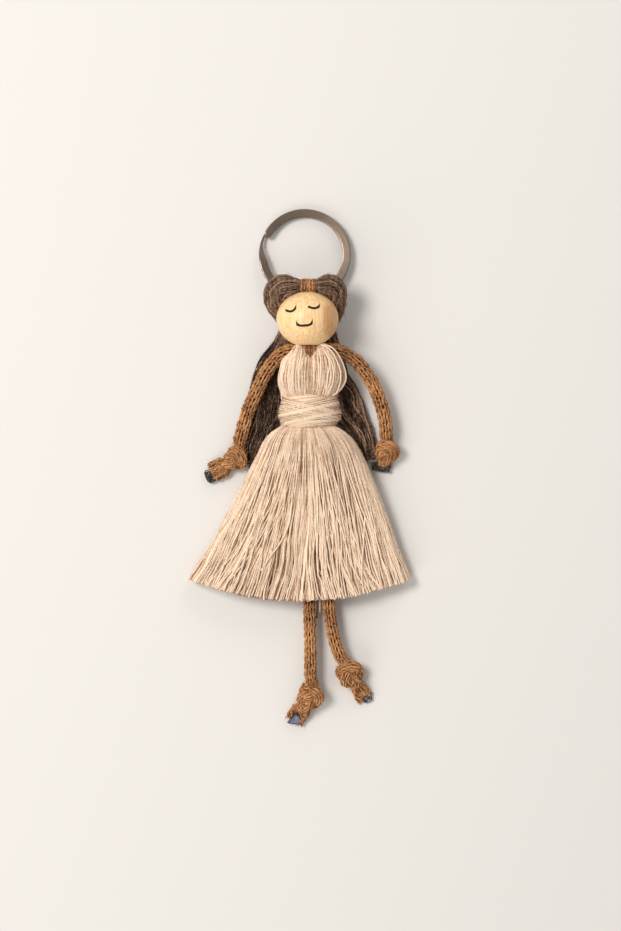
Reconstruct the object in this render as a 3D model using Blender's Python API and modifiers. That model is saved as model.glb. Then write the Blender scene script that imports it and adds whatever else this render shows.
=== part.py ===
# Yarn doll on a key ring, lying on its back, in metres.
# +Z is up, out of the doll's face. +Y runs from the feet to the ring. The origin is
# on the flat underside of the skirt, below the doll's middle line.
import math

import bmesh
import bpy
import numpy as np
from mathutils import Matrix, Vector

for old in list(bpy.data.objects):
    bpy.data.objects.remove(old, do_unlink=True)

# Clearance between touching pieces
gap = 0.0003

# Knitted cord of the body and limbs
cord_diameter = 0.0043
squeezed_cord_diameter = 0.0026
cord_radius = cord_diameter / 2
nose_degrees = (28, 55, 80)

# Stations along the body, from the origin towards the ring
rest_to_waist = 0.0132
waist_length = 0.0108
shoulder_rise = 0.0142
bodice_length = 0.0153

# Head bead and its cord
bead_diameter = 0.020
bead_length = 0.017
bead_bore = 0.0062
bead_height = 0.0140
neck_cord_diameter = 0.0050

# Split ring: flat wire, two flat coils joined by a short ramp
ring_diameter = 0.030
ring_wire_width = 0.0026
ring_wire_thickness = 0.0008
ring_coil_gap = 0.00042
ring_offset_x = -0.0009
ring_rest_gap = 0.00015
ring_points_per_turn = 48
ring_turns = 1.9
ring_start_degrees = 192
ring_ramp_turns = 0.08

# Hanger: the body cord squeezed flat over the hair, ending in a bight round the ring wire
hanger_width = 0.0053
hanger_thickness = 0.0016
bight_width = 0.0046
bight_thickness = 0.0015
bight_clearance = 0.0003

# Hair: a hank squeezed in the hanger, two buns, two falls behind the body
hank_depth = 0.0070
hank_height = 0.0026
bun_reach = 0.0116
bun_radius = 0.0042
fall_length = 0.0530
fall_width = 0.0100
fall_thickness = 0.0032
fall_start_share = 0.23

# Waist: a core of strings under a wound string
waist_width = 0.0204
waist_thickness = 0.0140
waist_offset_x = 0.00085
wrap_string_diameter = 0.0008
wrap_pitch = 0.00125
wrap_turns = 8
wrap_points_per_turn = 24
barrel_rise = 0.0004

# Bodice: two lobes in front, one fall behind
lobe_width = 0.0107
lobe_thickness = 0.0062
lobe_height = 0.0138
bodice_back_width = 0.0200
bodice_back_top = 0.0071
shoulder_cord_height = 0.0090

# Skirt: four falls of string round the legs
skirt_half_width = 0.0363
skirt_length = 0.0556
skirt_top_height = 0.0158
skirt_edge_height = 0.0040
hem_rise = 0.0068
flat_cut = 0.0005
fall_min_thickness = 0.0006

# Arms
shoulder_height = 0.0092
elbow_height = 0.0058
left_shoulder_x = -0.0092
right_shoulder_x = 0.0112
arm_span = 0.0400
left_hand_stand_off = 0.00273
right_hand_stand_off = 0.00348

# Legs
hip_height = 0.0086
knee_height = 0.0047
hip_drop = 0.0023
left_hip_x = -0.0021
right_hip_x = 0.00295
left_knee_x = 0.00055
right_knee_x = 0.00695
hip_splay_degrees = 8
knee_drop = 0.0026
shin_length = 0.0300

# Knots, tails and melted tips at the ends of the limbs
hand_knot_length = 0.0072
hand_knot_width = 0.0066
foot_knot_length = 0.0082
foot_knot_width = 0.0078
knot_turn_diameter = 0.0025
knot_turn_lean = 0.55
knot_seat = 0.00005
tail_width = 0.0050
tail_thickness = 0.0022
left_hand_tail_length = 0.0046
right_hand_tail_length = 0.0010
foot_tail_length = 0.0046
tip_length = 0.0026

# Places worked out from the sizes
waist_bottom_y = rest_to_waist
waist_top_y = waist_bottom_y + waist_length
shoulder_y = waist_top_y + shoulder_rise
bodice_top_y = waist_top_y + bodice_length
bead_y = bodice_top_y + gap + bead_length / 2
bead_top_y = bead_y + bead_length / 2
waist_height = (bead_height + cord_diameter) / 2
hip_y = waist_bottom_y - hip_drop
hem_y = waist_bottom_y - gap - skirt_length
knee_y = hem_y - knee_drop
ring_height = 2 * ring_wire_thickness + ring_coil_gap
ring_mean_radius = (ring_diameter - ring_wire_width) / 2
bight_inner = math.hypot(ring_wire_width, ring_height) / 2 + bight_clearance
bight_outer = bight_inner + bight_thickness

parts = bpy.data.collections.new("yarn_doll")
bpy.context.scene.collection.children.link(parts)
guides = bpy.data.collections.new("guides")
bpy.context.scene.collection.children.link(guides)


# Materials

def material(name, colour, roughness, metallic=0.0):
    made = bpy.data.materials.new(name)
    made.use_nodes = True
    shader = made.node_tree.nodes["Principled BSDF"]
    shader.inputs["Base Color"].default_value = (*colour, 1)
    shader.inputs["Roughness"].default_value = roughness
    shader.inputs["Metallic"].default_value = metallic
    made.diffuse_color = (*colour, 1)
    return made


steel = material("ring_steel", (0.42, 0.39, 0.36), 0.25, 1.0)
wood = material("bead_wood", (0.80, 0.58, 0.36), 0.45)
wool = material("hair_wool", (0.085, 0.050, 0.038), 0.95)
caramel = material("cord_caramel", (0.40, 0.17, 0.055), 0.90)
cotton = material("dress_cotton", (0.72, 0.56, 0.42), 0.90)
melted = material("melted_cord_end", (0.010, 0.010, 0.012), 0.20)


# Shared makers

def keep(made, name, finish, joint=None):
    """Names a finished piece, gives it its material and hangs it on its joint."""
    for held in list(made.users_collection):
        held.objects.unlink(made)
    made.name = name
    made.data.name = name
    parts.objects.link(made)
    made.data.materials.clear()
    made.data.materials.append(finish)
    if joint:
        bpy.context.view_layer.update()
        made.parent = joint
        made.matrix_parent_inverse = joint.matrix_world.inverted()
    return made


def joint_empty(name, place, parent=None):
    made = bpy.data.objects.new(name, None)
    made.empty_display_size = cord_diameter
    made.location = place
    parts.objects.link(made)
    bpy.context.view_layer.update()
    if parent:
        made.parent = parent
        made.matrix_parent_inverse = parent.matrix_world.inverted()
        bpy.context.view_layer.update()
    return made


def smooth_path(places, steps):
    """Points on a smooth curve through the places, steps for each stretch."""
    places = [Vector(place) for place in places]
    held = [2 * places[0] - places[1]] + places + [2 * places[-1] - places[-2]]
    made = []
    for i in range(1, len(held) - 2):
        for k in range(steps):
            t = k / steps
            a, b, c, d = held[i - 1:i + 3]
            made.append(0.5 * (2 * b + (c - a) * t + (2 * a - 5 * b + 4 * c - d) * t * t
                               + (3 * b - 3 * c + d - a) * t ** 3))
    made.append(held[-2])
    return made


def poly_curve(name, path, shares=None, closed=False):
    curve = bpy.data.curves.new(name, "CURVE")
    curve.dimensions = "3D"
    curve.twist_mode = "Z_UP"
    curve.use_fill_caps = not closed
    spline = curve.splines.new("POLY")
    spline.points.add(len(path) - 1)
    for i, place in enumerate(path):
        spline.points[i].co = (*place, 1)
        spline.points[i].radius = shares[i] if shares else 1
    spline.use_cyclic_u = closed
    spline.use_smooth = True
    made = bpy.data.objects.new(name, curve)
    bpy.context.scene.collection.objects.link(made)
    return made


def tube(name, path, diameter, finish, shares=None, sides_step=2, joint=None):
    made = poly_curve(name, path, shares)
    made.data.bevel_depth = diameter / 2
    made.data.bevel_resolution = sides_step
    return keep(made, name, finish, joint)


def section(name, width, thickness, count=12, flat_bottom=False):
    """A closed section: an ellipse, or half of one standing on its flat side."""
    curve = bpy.data.curves.new(name, "CURVE")
    curve.dimensions = "2D"
    curve.fill_mode = "NONE"
    spline = curve.splines.new("POLY")
    turn = math.pi if flat_bottom else 2 * math.pi
    rise = thickness if flat_bottom else thickness / 2
    last = count - 1 if flat_bottom else count
    spline.points.add(count - 1)
    for i in range(count):
        angle = turn * (1 - i / last)
        spline.points[i].co = (width / 2 * math.cos(angle), rise * math.sin(angle), 0, 1)
    spline.use_cyclic_u = True
    made = bpy.data.objects.new(name, curve)
    made.hide_render = True
    made.display_type = "WIRE"
    guides.objects.link(made)
    return made


def swept(name, path, outline, finish, shares=None, closed=False, joint=None):
    made = poly_curve(name, path, shares, closed)
    made.data.bevel_mode = "OBJECT"
    made.data.bevel_object = outline
    return keep(made, name, finish, joint)


def rounded(path, radius, both_ends):
    """A tube's path and radius shares, with a round nose centred on its first point."""
    back = (path[0] - path[1]).normalized()
    nose, shares = [], []
    for degrees in reversed(nose_degrees):
        angle = math.radians(degrees)
        nose.append(path[0] + back * radius * math.sin(angle))
        shares.append(math.cos(angle))
    path = nose + path
    shares += [1.0] * (len(path) - len(nose))
    if both_ends:
        ahead = (path[-1] - path[-2]).normalized()
        middle = path[-1] - ahead * radius
        path[-1] = middle
        for degrees in nose_degrees:
            angle = math.radians(degrees)
            path.append(middle + ahead * radius * math.sin(angle))
            shares.append(math.cos(angle))
    return path, shares


def slab(name, places, finish, joint=None):
    """A closed loft: places[i][j] holds the upper and lower point of station i, column j."""
    mesh = bmesh.new()
    upper = [[mesh.verts.new(pair[0]) for pair in row] for row in places]
    lower = [[mesh.verts.new(pair[1]) for pair in row] for row in places]
    rows, columns = len(places), len(places[0])
    for i in range(rows - 1):
        for j in range(columns - 1):
            mesh.faces.new((upper[i][j], upper[i][j + 1], upper[i + 1][j + 1], upper[i + 1][j]))
            mesh.faces.new((lower[i][j], lower[i + 1][j], lower[i + 1][j + 1], lower[i][j + 1]))
    for i in range(rows - 1):
        for j in (0, columns - 1):
            mesh.faces.new((upper[i][j], upper[i + 1][j], lower[i + 1][j], lower[i][j]))
    for j in range(columns - 1):
        for i in (0, rows - 1):
            mesh.faces.new((upper[i][j], upper[i][j + 1], lower[i][j + 1], lower[i][j]))
    bmesh.ops.recalc_face_normals(mesh, faces=mesh.faces)
    data = bpy.data.meshes.new(name)
    mesh.to_mesh(data)
    mesh.free()
    data.shade_smooth()
    data.set_sharp_from_angle(angle=math.radians(50))
    made = bpy.data.objects.new(name, data)
    bpy.context.scene.collection.objects.link(made)
    return keep(made, name, finish, joint)


# Head

def head_bead():
    """Turned bead with a bore along Y. It can spin on its cord."""
    bore = bead_bore / 2
    rim = math.acos(bore / (bead_diameter / 2))
    outer = []
    arc_steps = 12
    for i in range(arc_steps + 1):
        angle = rim - 2 * rim * i / arc_steps
        stretch = bead_length / 2 / math.sin(rim)
        outer.append((bead_diameter / 2 * math.cos(angle), stretch * math.sin(angle)))
    mesh = bmesh.new()
    ring = [mesh.verts.new((x, 0, z)) for x, z in outer]
    for i in range(len(ring)):
        mesh.edges.new((ring[i], ring[(i + 1) % len(ring)]))
    data = bpy.data.meshes.new("head_bead")
    mesh.to_mesh(data)
    mesh.free()
    made = bpy.data.objects.new("head_bead", data)
    bpy.context.scene.collection.objects.link(made)
    made.location = (0, bead_y, bead_height)
    made.rotation_euler = (math.radians(-90), 0, 0)
    screw = made.modifiers.new("turned", "SCREW")
    screw.steps = 32
    screw.render_steps = 32
    screw.use_merge_vertices = True
    screw.merge_threshold = 0.00001
    screw.use_smooth_shade = True
    keep(made, "head_bead", wood)


def neck_cord():
    """The body cord inside the bead, coming out at the throat."""
    path = smooth_path([(0, bead_top_y - gap, bead_height),
                        (0, bead_y, bead_height),
                        (0, bodice_top_y + gap, bead_height)], 3)
    tube("neck_cord", path, neck_cord_diameter, caramel)


# Ring and hanger

def bight_place():
    """Centre of the bight: as near the bead's back as the bead allows, just off the table."""
    height = bight_outer + gap
    reach = bight_outer + gap
    nearest = bead_y
    for angle in np.linspace(0, math.pi / 2, 60):
        y = bead_y + bead_length / 2 * math.sin(angle)
        z = bead_height - bead_diameter / 2 * math.cos(angle)
        rise = abs(height - z)
        if rise < reach:
            nearest = max(nearest, y + math.sqrt(reach ** 2 - rise ** 2))
    return Vector((0, nearest, height))


bight_centre = bight_place()
ring_drop = bight_centre.z - ring_height / 2 - ring_rest_gap
ring_tilt = math.asin(ring_drop / (2 * ring_mean_radius))
ring_centre = Vector((ring_offset_x,
                      bight_centre.y + ring_mean_radius * math.cos(ring_tilt),
                      bight_centre.z - ring_mean_radius * math.sin(ring_tilt)))
ring_swing = joint_empty("ring_swing_axis", bight_centre)
ring_turn = joint_empty("ring_turn_axis", ring_centre, ring_swing)


def split_ring():
    """Flat wire in two flat coils. The ramp from one to the other starts at the upper left."""
    wire = section("ring_wire_section", ring_wire_width, ring_wire_thickness, count=8)
    half_x, half_y = ring_wire_width / 2, ring_wire_thickness / 2
    corner = ring_wire_thickness / 4
    spline = wire.data.splines[0]
    corners = [(half_x, half_y - corner), (half_x - corner, half_y), (corner - half_x, half_y),
               (-half_x, half_y - corner), (-half_x, corner - half_y), (corner - half_x, -half_y),
               (half_x - corner, -half_y), (half_x, corner - half_y)]
    for i, (x, y) in enumerate(reversed(corners)):
        spline.points[i].co = (x, y, 0, 1)
    rise = (ring_wire_thickness + ring_coil_gap) / 2
    count = int(ring_points_per_turn * ring_turns)
    start = math.radians(ring_start_degrees)
    path = []
    for i in range(count + 1):
        turns = ring_turns * i / count
        ramp = (turns - (ring_turns - ring_ramp_turns) / 2) / ring_ramp_turns
        level = -rise + 2 * rise * min(1, max(0, ramp))
        angle = start + 2 * math.pi * turns
        path.append(Vector((ring_mean_radius * math.cos(angle),
                            ring_mean_radius * math.sin(angle), level)))
    least = min((a - b).length - ring_wire_thickness for i, a in enumerate(path)
                for b in path[i + ring_points_per_turn // 2:])
    print("split ring, least gap between its coils, mm:", round(least * 1000, 2))
    made = poly_curve("split_ring", path)
    made.data.bevel_mode = "OBJECT"
    made.data.bevel_object = wire
    made.location = ring_centre
    made.rotation_euler = (-ring_tilt, 0, 0)
    keep(made, "split_ring", steel, ring_turn)


def hanger():
    """Band over the hair, from the bead's hole to the bight, and the bight round the ring wire."""
    outline = section("hanger_section", hanger_width, hanger_thickness)
    front_y = bead_top_y + gap + hanger_thickness / 2
    back_y = front_y + hank_height + hanger_thickness + 2 * gap
    top_z = hank_centre.z + hank_depth / 2 + gap + hanger_thickness / 2
    behind = Vector((0, back_y, hank_centre.z - hank_depth / 2))
    end = bight_centre + (behind - bight_centre).normalized() * (bight_outer + gap)
    route = [(0, front_y, bead_height), (0, front_y, top_z - hanger_thickness),
             (0, (front_y + back_y) / 2, top_z), (0, back_y, top_z - hanger_thickness),
             (0, back_y + hanger_thickness / 4, hank_centre.z), behind, end]
    swept("hanger_loop", smooth_path(route, 3), outline, caramel)
    outline = section("bight_section", bight_width, bight_thickness)
    middle = (bight_inner + bight_outer) / 2
    circle = [bight_centre + Vector((0, middle * math.cos(a), middle * math.sin(a)))
              for a in np.linspace(0, 2 * math.pi, 24, endpoint=False)]
    swept("ring_bight", circle, outline, caramel, closed=True, joint=ring_swing)


hank_centre = Vector((0, bead_top_y + 2 * gap + hanger_thickness + hank_height / 2,
                      bead_height - cord_diameter / 3))


# Hair

# Falls: places as shares of the fall's length, with the width share, from behind the head
left_fall_shares = [(-0.100, 0.00, 0.74), (-0.106, -0.113, 0.78), (-0.136, -0.236, 0.82),
                    (-0.258, -0.415, 0.98), (-0.270, -0.566, 0.96), (-0.302, -0.717, 0.84),
                    (-0.342, -0.868, 0.54), (-0.374, -1.00, 0.26)]
right_fall_shares = [(0.100, 0.00, 0.74), (0.104, -0.113, 0.78), (0.130, -0.264, 0.86),
                     (0.157, -0.415, 0.86), (0.236, -0.547, 0.90), (0.294, -0.679, 0.88),
                     (0.357, -0.802, 0.66), (0.377, -0.953, 0.24)]


def fall_stations(table):
    """X, Y and half width of a hair fall at each of its stations."""
    root_y = bead_y + bead_length * fall_start_share
    return [(fall_length * x, root_y + fall_length * y, fall_width / 2 * w) for x, y, w in table]


def hair():
    outline = section("hank_section", hank_height, hank_depth)
    half = hanger_width / 2
    swept("hair_hank", [hank_centre + Vector((x, 0, 0)) for x in (-half, 0, half)], outline, wool)
    # Bun: places as shares of its reach from the hanger's side, with its radius share
    bun_shares = [(0.00, 0.00, 0.00, 0.55), (-0.20, 0.00, 0.00, 0.80), (-0.46, -0.08, -0.03, 0.98),
                  (-0.64, -0.30, -0.11, 0.86), (-0.75, -0.56, -0.23, 0.68),
                  (-0.67, -0.80, -0.42, 0.50), (-0.44, -0.95, -0.83, 0.36)]
    for side, name in ((1, "hair_bun_left"), (-1, "hair_bun_right")):
        narrow = 1 if side > 0 else 0.94
        root = Vector((-side * (half + gap), hank_centre.y, hank_centre.z))
        places = [root + Vector((side * x * narrow, y, z)) * bun_reach for x, y, z, r in bun_shares]
        path = smooth_path(places, 2)
        radii = [r for x, y, z, r in bun_shares]
        shares = list(np.interp(np.linspace(0, 1, len(path)), np.linspace(0, 1, len(radii)), radii))
        tube(name, path, 2 * bun_radius, wool, shares)
    outline = section("fall_section", fall_width, fall_thickness, count=9, flat_bottom=True)
    for table, name in ((left_fall_shares, "hair_fall_left"), (right_fall_shares, "hair_fall_right")):
        places = [Vector((x, y, 0)) for x, y, half_width in fall_stations(table)]
        path = smooth_path(places, 2)
        widths = [w for x, y, w in table]
        shares = list(np.interp(np.linspace(0, 1, len(path)), np.linspace(0, 1, len(widths)), widths))
        swept(name, path, outline, wool, shares)


# Waist and bodice

def waist_radii(share):
    """Half width and half thickness of the wrap's centre line, share 0 at its lower end."""
    swell = barrel_rise * math.sin(math.pi * share)
    half_string = wrap_string_diameter / 2
    return (waist_width / 2 - half_string - barrel_rise + swell,
            waist_thickness / 2 - half_string - barrel_rise + swell)


def waist():
    core_stations = 5
    inset = wrap_string_diameter / 2 + gap
    mesh = bmesh.new()
    rings = []
    for i in range(core_stations):
        share = i / (core_stations - 1)
        a, b = waist_radii(share)
        y = waist_bottom_y + gap + (waist_length - 2 * gap) * share
        rings.append([mesh.verts.new((waist_offset_x + (a - inset) * math.cos(t), y,
                                      waist_height + (b - inset) * math.sin(t)))
                      for t in np.linspace(0, 2 * math.pi, 24, endpoint=False)])
    for low, high in zip(rings, rings[1:]):
        for j in range(len(low)):
            mesh.faces.new((low[j - 1], low[j], high[j], high[j - 1]))
    mesh.faces.new(rings[0])
    mesh.faces.new(rings[-1])
    bmesh.ops.recalc_face_normals(mesh, faces=mesh.faces)
    data = bpy.data.meshes.new("waist_core")
    mesh.to_mesh(data)
    mesh.free()
    made = bpy.data.objects.new("waist_core", data)
    bpy.context.scene.collection.objects.link(made)
    keep(made, "waist_core", cotton)

    wound = wrap_turns * wrap_pitch
    first_y = waist_bottom_y + (waist_length - wound) / 2
    count = wrap_turns * wrap_points_per_turn
    path = []
    for i in range(count + 1):
        a, b = waist_radii(i / count)
        angle = 2 * math.pi * wrap_turns * i / count
        path.append(Vector((waist_offset_x + a * math.cos(angle), first_y + wound * i / count,
                            waist_height + b * math.sin(angle))))
    lead_in = path[0] + (path[0] - path[1]).normalized() * wrap_string_diameter
    lead_out = path[-1] + (path[-1] - path[-2]).normalized() * wrap_string_diameter
    path = [lead_in] + path + [lead_out]
    least = min((a - b).length - wrap_string_diameter for i, a in enumerate(path)
                for b in path[i + wrap_points_per_turn // 2:])
    print("waist wrap, least gap to itself, mm:", round(least * 1000, 2))
    tube("waist_wrap", path, wrap_string_diameter, cotton, sides_step=1)


def bodice():
    lobe_shares = [(0.00, 0.80), (0.22, 0.95), (0.45, 1.00), (0.68, 0.95), (0.85, 0.78),
                   (0.95, 0.50), (1.00, 0.22)]
    outline = section("lobe_section", lobe_width, lobe_thickness, count=14)
    first_y = waist_top_y + gap
    length = bodice_top_y - first_y
    lean = lobe_width / 10
    for side, name in ((-1, "bodice_front_left"), (1, "bodice_front_right")):
        middle_x = waist_offset_x / 2 + side * (lobe_width / 2 + gap / 2)
        path = [Vector((middle_x + side * lean * y * y, first_y + length * y, lobe_height))
                for y, r in lobe_shares]
        swept(name, path, outline, cotton, [r for y, r in lobe_shares])
    # The back fall is flat in front and domed behind, above the hair falls
    back_shares = [(0.00, 0.92), (0.25, 0.98), (0.50, 0.96), (0.70, 0.84), (0.88, 0.62), (0.96, 0.44)]
    bottom = fall_thickness + gap
    rows = []
    for y_share, width_share in back_shares:
        row = []
        for u in np.linspace(-1, 1, 11):
            dome = (1 - abs(u) ** 2.4) ** (1 / 2.4)
            middle = (bodice_back_top + bottom) / 2
            x = waist_offset_x / 2 + bodice_back_width / 2 * width_share * u
            y = first_y + length * y_share
            rise = fall_min_thickness / 2 + (bodice_back_top - middle - fall_min_thickness / 2) * dome
            row.append(((x, y, middle + rise), (x, y, middle - rise)))
        rows.append(row)
    slab("bodice_back", rows, cotton)


def body_cords():
    """The arm cord across the chest and the two strands that run down to the legs."""
    half = squeezed_cord_diameter / 2
    ends = (left_shoulder_x + cord_radius + gap, right_shoulder_x - cord_radius - gap)
    path = [Vector((x, shoulder_y, shoulder_cord_height)) for x in (ends[0], 0, ends[1])]
    tube("shoulder_cord", path, squeezed_cord_diameter, caramel)
    for x, name in ((left_hip_x, "torso_cord_left"), (right_hip_x, "torso_cord_right")):
        path = [Vector((x, y, shoulder_cord_height))
                for y in (shoulder_y - half - gap, (shoulder_y + waist_top_y) / 2, waist_top_y + gap)]
        tube(name, path, squeezed_cord_diameter, caramel)


# Skirt

skirt_width_shares = [(0.0, 0.296), (0.04, 0.354), (0.09, 0.413), (0.16, 0.464), (0.25, 0.522),
                      (0.36, 0.587), (0.5, 0.671), (0.65, 0.762), (0.8, 0.853), (1.0, 1.0)]
skirt_centre_shares = [(0.0, 0.004), (0.16, 0.021), (0.36, 0.014), (0.5, 0.004), (0.65, -0.015),
                       (0.8, -0.037), (1.0, -0.072)]
skirt_top_shares = [(0.0, 1.0), (0.1, 1.03), (0.36, 0.93), (0.6, 0.84), (1.0, 0.68)]


def table_value(table, share):
    return float(np.interp(share, [row[0] for row in table], [row[1] for row in table]))


def leg_height(share):
    """Height of the leg cords' centre line, share 0 at the waist and 1 at the hem."""
    hip_share = hip_drop / skirt_length
    return hip_height + (knee_height - hip_height) * max(0, share - hip_share)


def skirt_place(share, u):
    """X and Y of a place on the skirt: u runs from -1, left, to 1, right."""
    x = skirt_half_width * (table_value(skirt_centre_shares, share)
                            + table_value(skirt_width_shares, share) * u)
    y = waist_bottom_y - gap - skirt_length * share + hem_rise * share * u * u
    return x, y


def skirt_heights(share, u):
    """Lowest and highest point of the skirt's outer form at a place."""
    blend = min(1, share / 0.16)
    edge = waist_height + (skirt_edge_height - waist_height) * blend
    top = skirt_top_height * table_value(skirt_top_shares, share)
    low = (waist_height - waist_thickness / 2 + gap) * (1 - blend)
    power = 2 + 4 * blend
    dome = (1 - min(1, abs(u)) ** 2.2) ** (1 / 2.2)
    belly = (1 - min(1, abs(u)) ** power) ** (1 / power)
    return max(0, edge - (edge - low + flat_cut) * belly), edge + (top - edge) * dome


def widest(share, test):
    """The largest u at which the test on the skirt's heights still holds."""
    found = 0.05
    for u in np.linspace(0.05, 0.995, 190):
        if test(*skirt_heights(share, u)):
            found = u
    return found


def skirt():
    shares = [0, 0.05, 0.1, 0.16, 0.24, 0.36, 0.48, 0.6, 0.72, 0.84, 0.93, 1.0]
    clear = cord_radius + gap
    front, back = [], []
    for share in shares:
        floor = leg_height(share) + clear
        ceiling = leg_height(share) - clear
        reach = widest(share, lambda low, high: high > floor + fall_min_thickness)
        row = []
        for v in np.linspace(-1, 1, 17):
            x, y = skirt_place(share, v * reach)
            row.append(((x, y, skirt_heights(share, v * reach)[1]), (x, y, floor)))
        front.append(row)
        reach = widest(share, lambda low, high: low < ceiling - fall_min_thickness)
        row = []
        for v in np.linspace(-1, 1, 17):
            x, y = skirt_place(share, v * reach)
            row.append(((x, y, ceiling), (x, y, skirt_heights(share, v * reach)[0])))
        back.append(row)
    slab("skirt_front", front, cotton)
    slab("skirt_back", back, cotton)
    splay = math.sin(math.radians(hip_splay_degrees + 1))
    for side, name in ((-1, "skirt_left"), (1, "skirt_right")):
        hip_x = left_hip_x if side < 0 else right_hip_x
        knee_x = left_knee_x if side < 0 else right_knee_x
        rows = []
        for share in shares:
            leg_x = hip_x + (knee_x - hip_x) * share + side * (clear + skirt_length * splay * share)
            centre = table_value(skirt_centre_shares, share) * skirt_half_width
            half = table_value(skirt_width_shares, share) * skirt_half_width
            inner = abs(leg_x - centre) / half
            row = []
            for v in np.linspace(0, 1, 6):
                u = inner + (0.97 - inner) * v
                x, y = skirt_place(share, side * u)
                low, high = skirt_heights(share, u)
                low = max(low, leg_height(share) - clear + gap)
                high = min(high, leg_height(share) + clear - gap)
                middle = (low + high) / 2
                low = min(low, middle - fall_min_thickness / 2)
                high = max(high, middle + fall_min_thickness / 2)
                row.append(((x, y, high), (x, y, low)))
            rows.append(row)
        slab(name, rows, cotton)


# Limbs

def knot(name, centre, heading, length, width, joint):
    """An overhand knot: a rounded body with the cord's turn bulging round it."""
    data = bpy.data.meshes.new(name)
    mesh = bmesh.new()
    bmesh.ops.create_uvsphere(mesh, u_segments=14, v_segments=8, radius=0.5)
    bmesh.ops.rotate(mesh, verts=mesh.verts, matrix=Matrix.Rotation(math.radians(90), 3, "Y"))
    bmesh.ops.scale(mesh, verts=mesh.verts, vec=(length, width, width))
    mesh.to_mesh(data)
    mesh.free()
    data.shade_smooth()
    made = bpy.data.objects.new(name, data)
    bpy.context.scene.collection.objects.link(made)
    made.location = centre
    made.rotation_euler = (0, 0, heading)
    turn_radius = width / 2 - knot_turn_diameter / 2 + gap
    circle = [Vector((turn_radius * math.cos(a) * knot_turn_lean, turn_radius * math.sin(a),
                      turn_radius * math.cos(a)))
              for a in np.linspace(0, 2 * math.pi, 14, endpoint=False)]
    turn = poly_curve(name + "_turn", circle, closed=True)
    turn.data.bevel_depth = knot_turn_diameter / 2
    turn.data.bevel_resolution = 1
    bpy.context.view_layer.update()
    solid = bpy.data.meshes.new_from_object(turn.evaluated_get(bpy.context.evaluated_depsgraph_get()))
    bpy.data.objects.remove(turn, do_unlink=True)
    turn = bpy.data.objects.new(name + "_turn", solid)
    turn.location = centre
    turn.rotation_euler = (0, 0, heading)
    turn.hide_render = True
    turn.display_type = "WIRE"
    guides.objects.link(turn)
    union = made.modifiers.new("turn", "BOOLEAN")
    union.operation = "UNION"
    union.object = turn
    keep(made, name, caramel, joint)


tail_section = section("tail_section", tail_width, tail_thickness)


def limb_end(name, centre, arrive, leave, length, width, tail_length, joint):
    """Knot, flared tail and melted tip. arrive and leave are headings in the XY plane."""
    knot(name + "_knot", centre, math.atan2(arrive.y, arrive.x), length, width, joint)
    out = leave.normalized()
    rest_height = tail_thickness / 2 + knot_seat
    start = centre + out * (length / 2 + 2 * gap)
    start.z = (centre.z + rest_height) / 2
    flat = Vector((centre.x, centre.y, rest_height))
    places = [start.lerp(Vector((start.x, start.y, rest_height)), min(1, share / 0.7))
              + out * tail_length * share for share in (0, 0.35, 0.7, 1)]
    swept(name + "_tail", places, tail_section, caramel, [0.72, 0.8, 0.95, 1.0], joint=joint)
    first = length / 2 + 2 * gap + tail_length + gap
    places = [flat + out * (first + tip_length * share) for share in (0, 0.4, 0.8, 1)]
    swept(name + "_tip", places, tail_section, melted, [1.0, 1.0, 0.8, 0.45], joint=joint)


def side_reach(side, low_y, high_y):
    """How far out the skirt and the hair reach on one side, between two places along the body."""
    places = [skirt_place(share, side) for share in np.linspace(0, 1, 41)]
    reach = max([side * x for x, y in places if low_y <= y <= high_y] + [0])
    stations = fall_stations(left_fall_shares if side < 0 else right_fall_shares)[::-1]
    ends = [y for x, y, half_width in stations]
    edges = [side * x + half_width for x, y, half_width in stations]
    for y in np.linspace(low_y, high_y, 41):
        if ends[0] <= y <= ends[-1]:
            reach = max(reach, float(np.interp(y, ends, edges)))
    return reach


def hand_place(side, y, leave, tail_length, stand_off):
    """The hand's knot lies beside the hair and the skirt, and so do its tail and tip."""
    half = hand_knot_width / 2
    beside_knot = side_reach(side, y - half, y + half) + stand_off
    first = hand_knot_length / 2 + 2 * gap
    last = first + tail_length + gap + tip_length
    inward = max(0, -side * leave.x) * last
    width = tail_width / 2 + gap
    beside_tip = side_reach(side, y + leave.y * last, y + leave.y * first) + width + inward
    return side * max(beside_knot, beside_tip)


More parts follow.
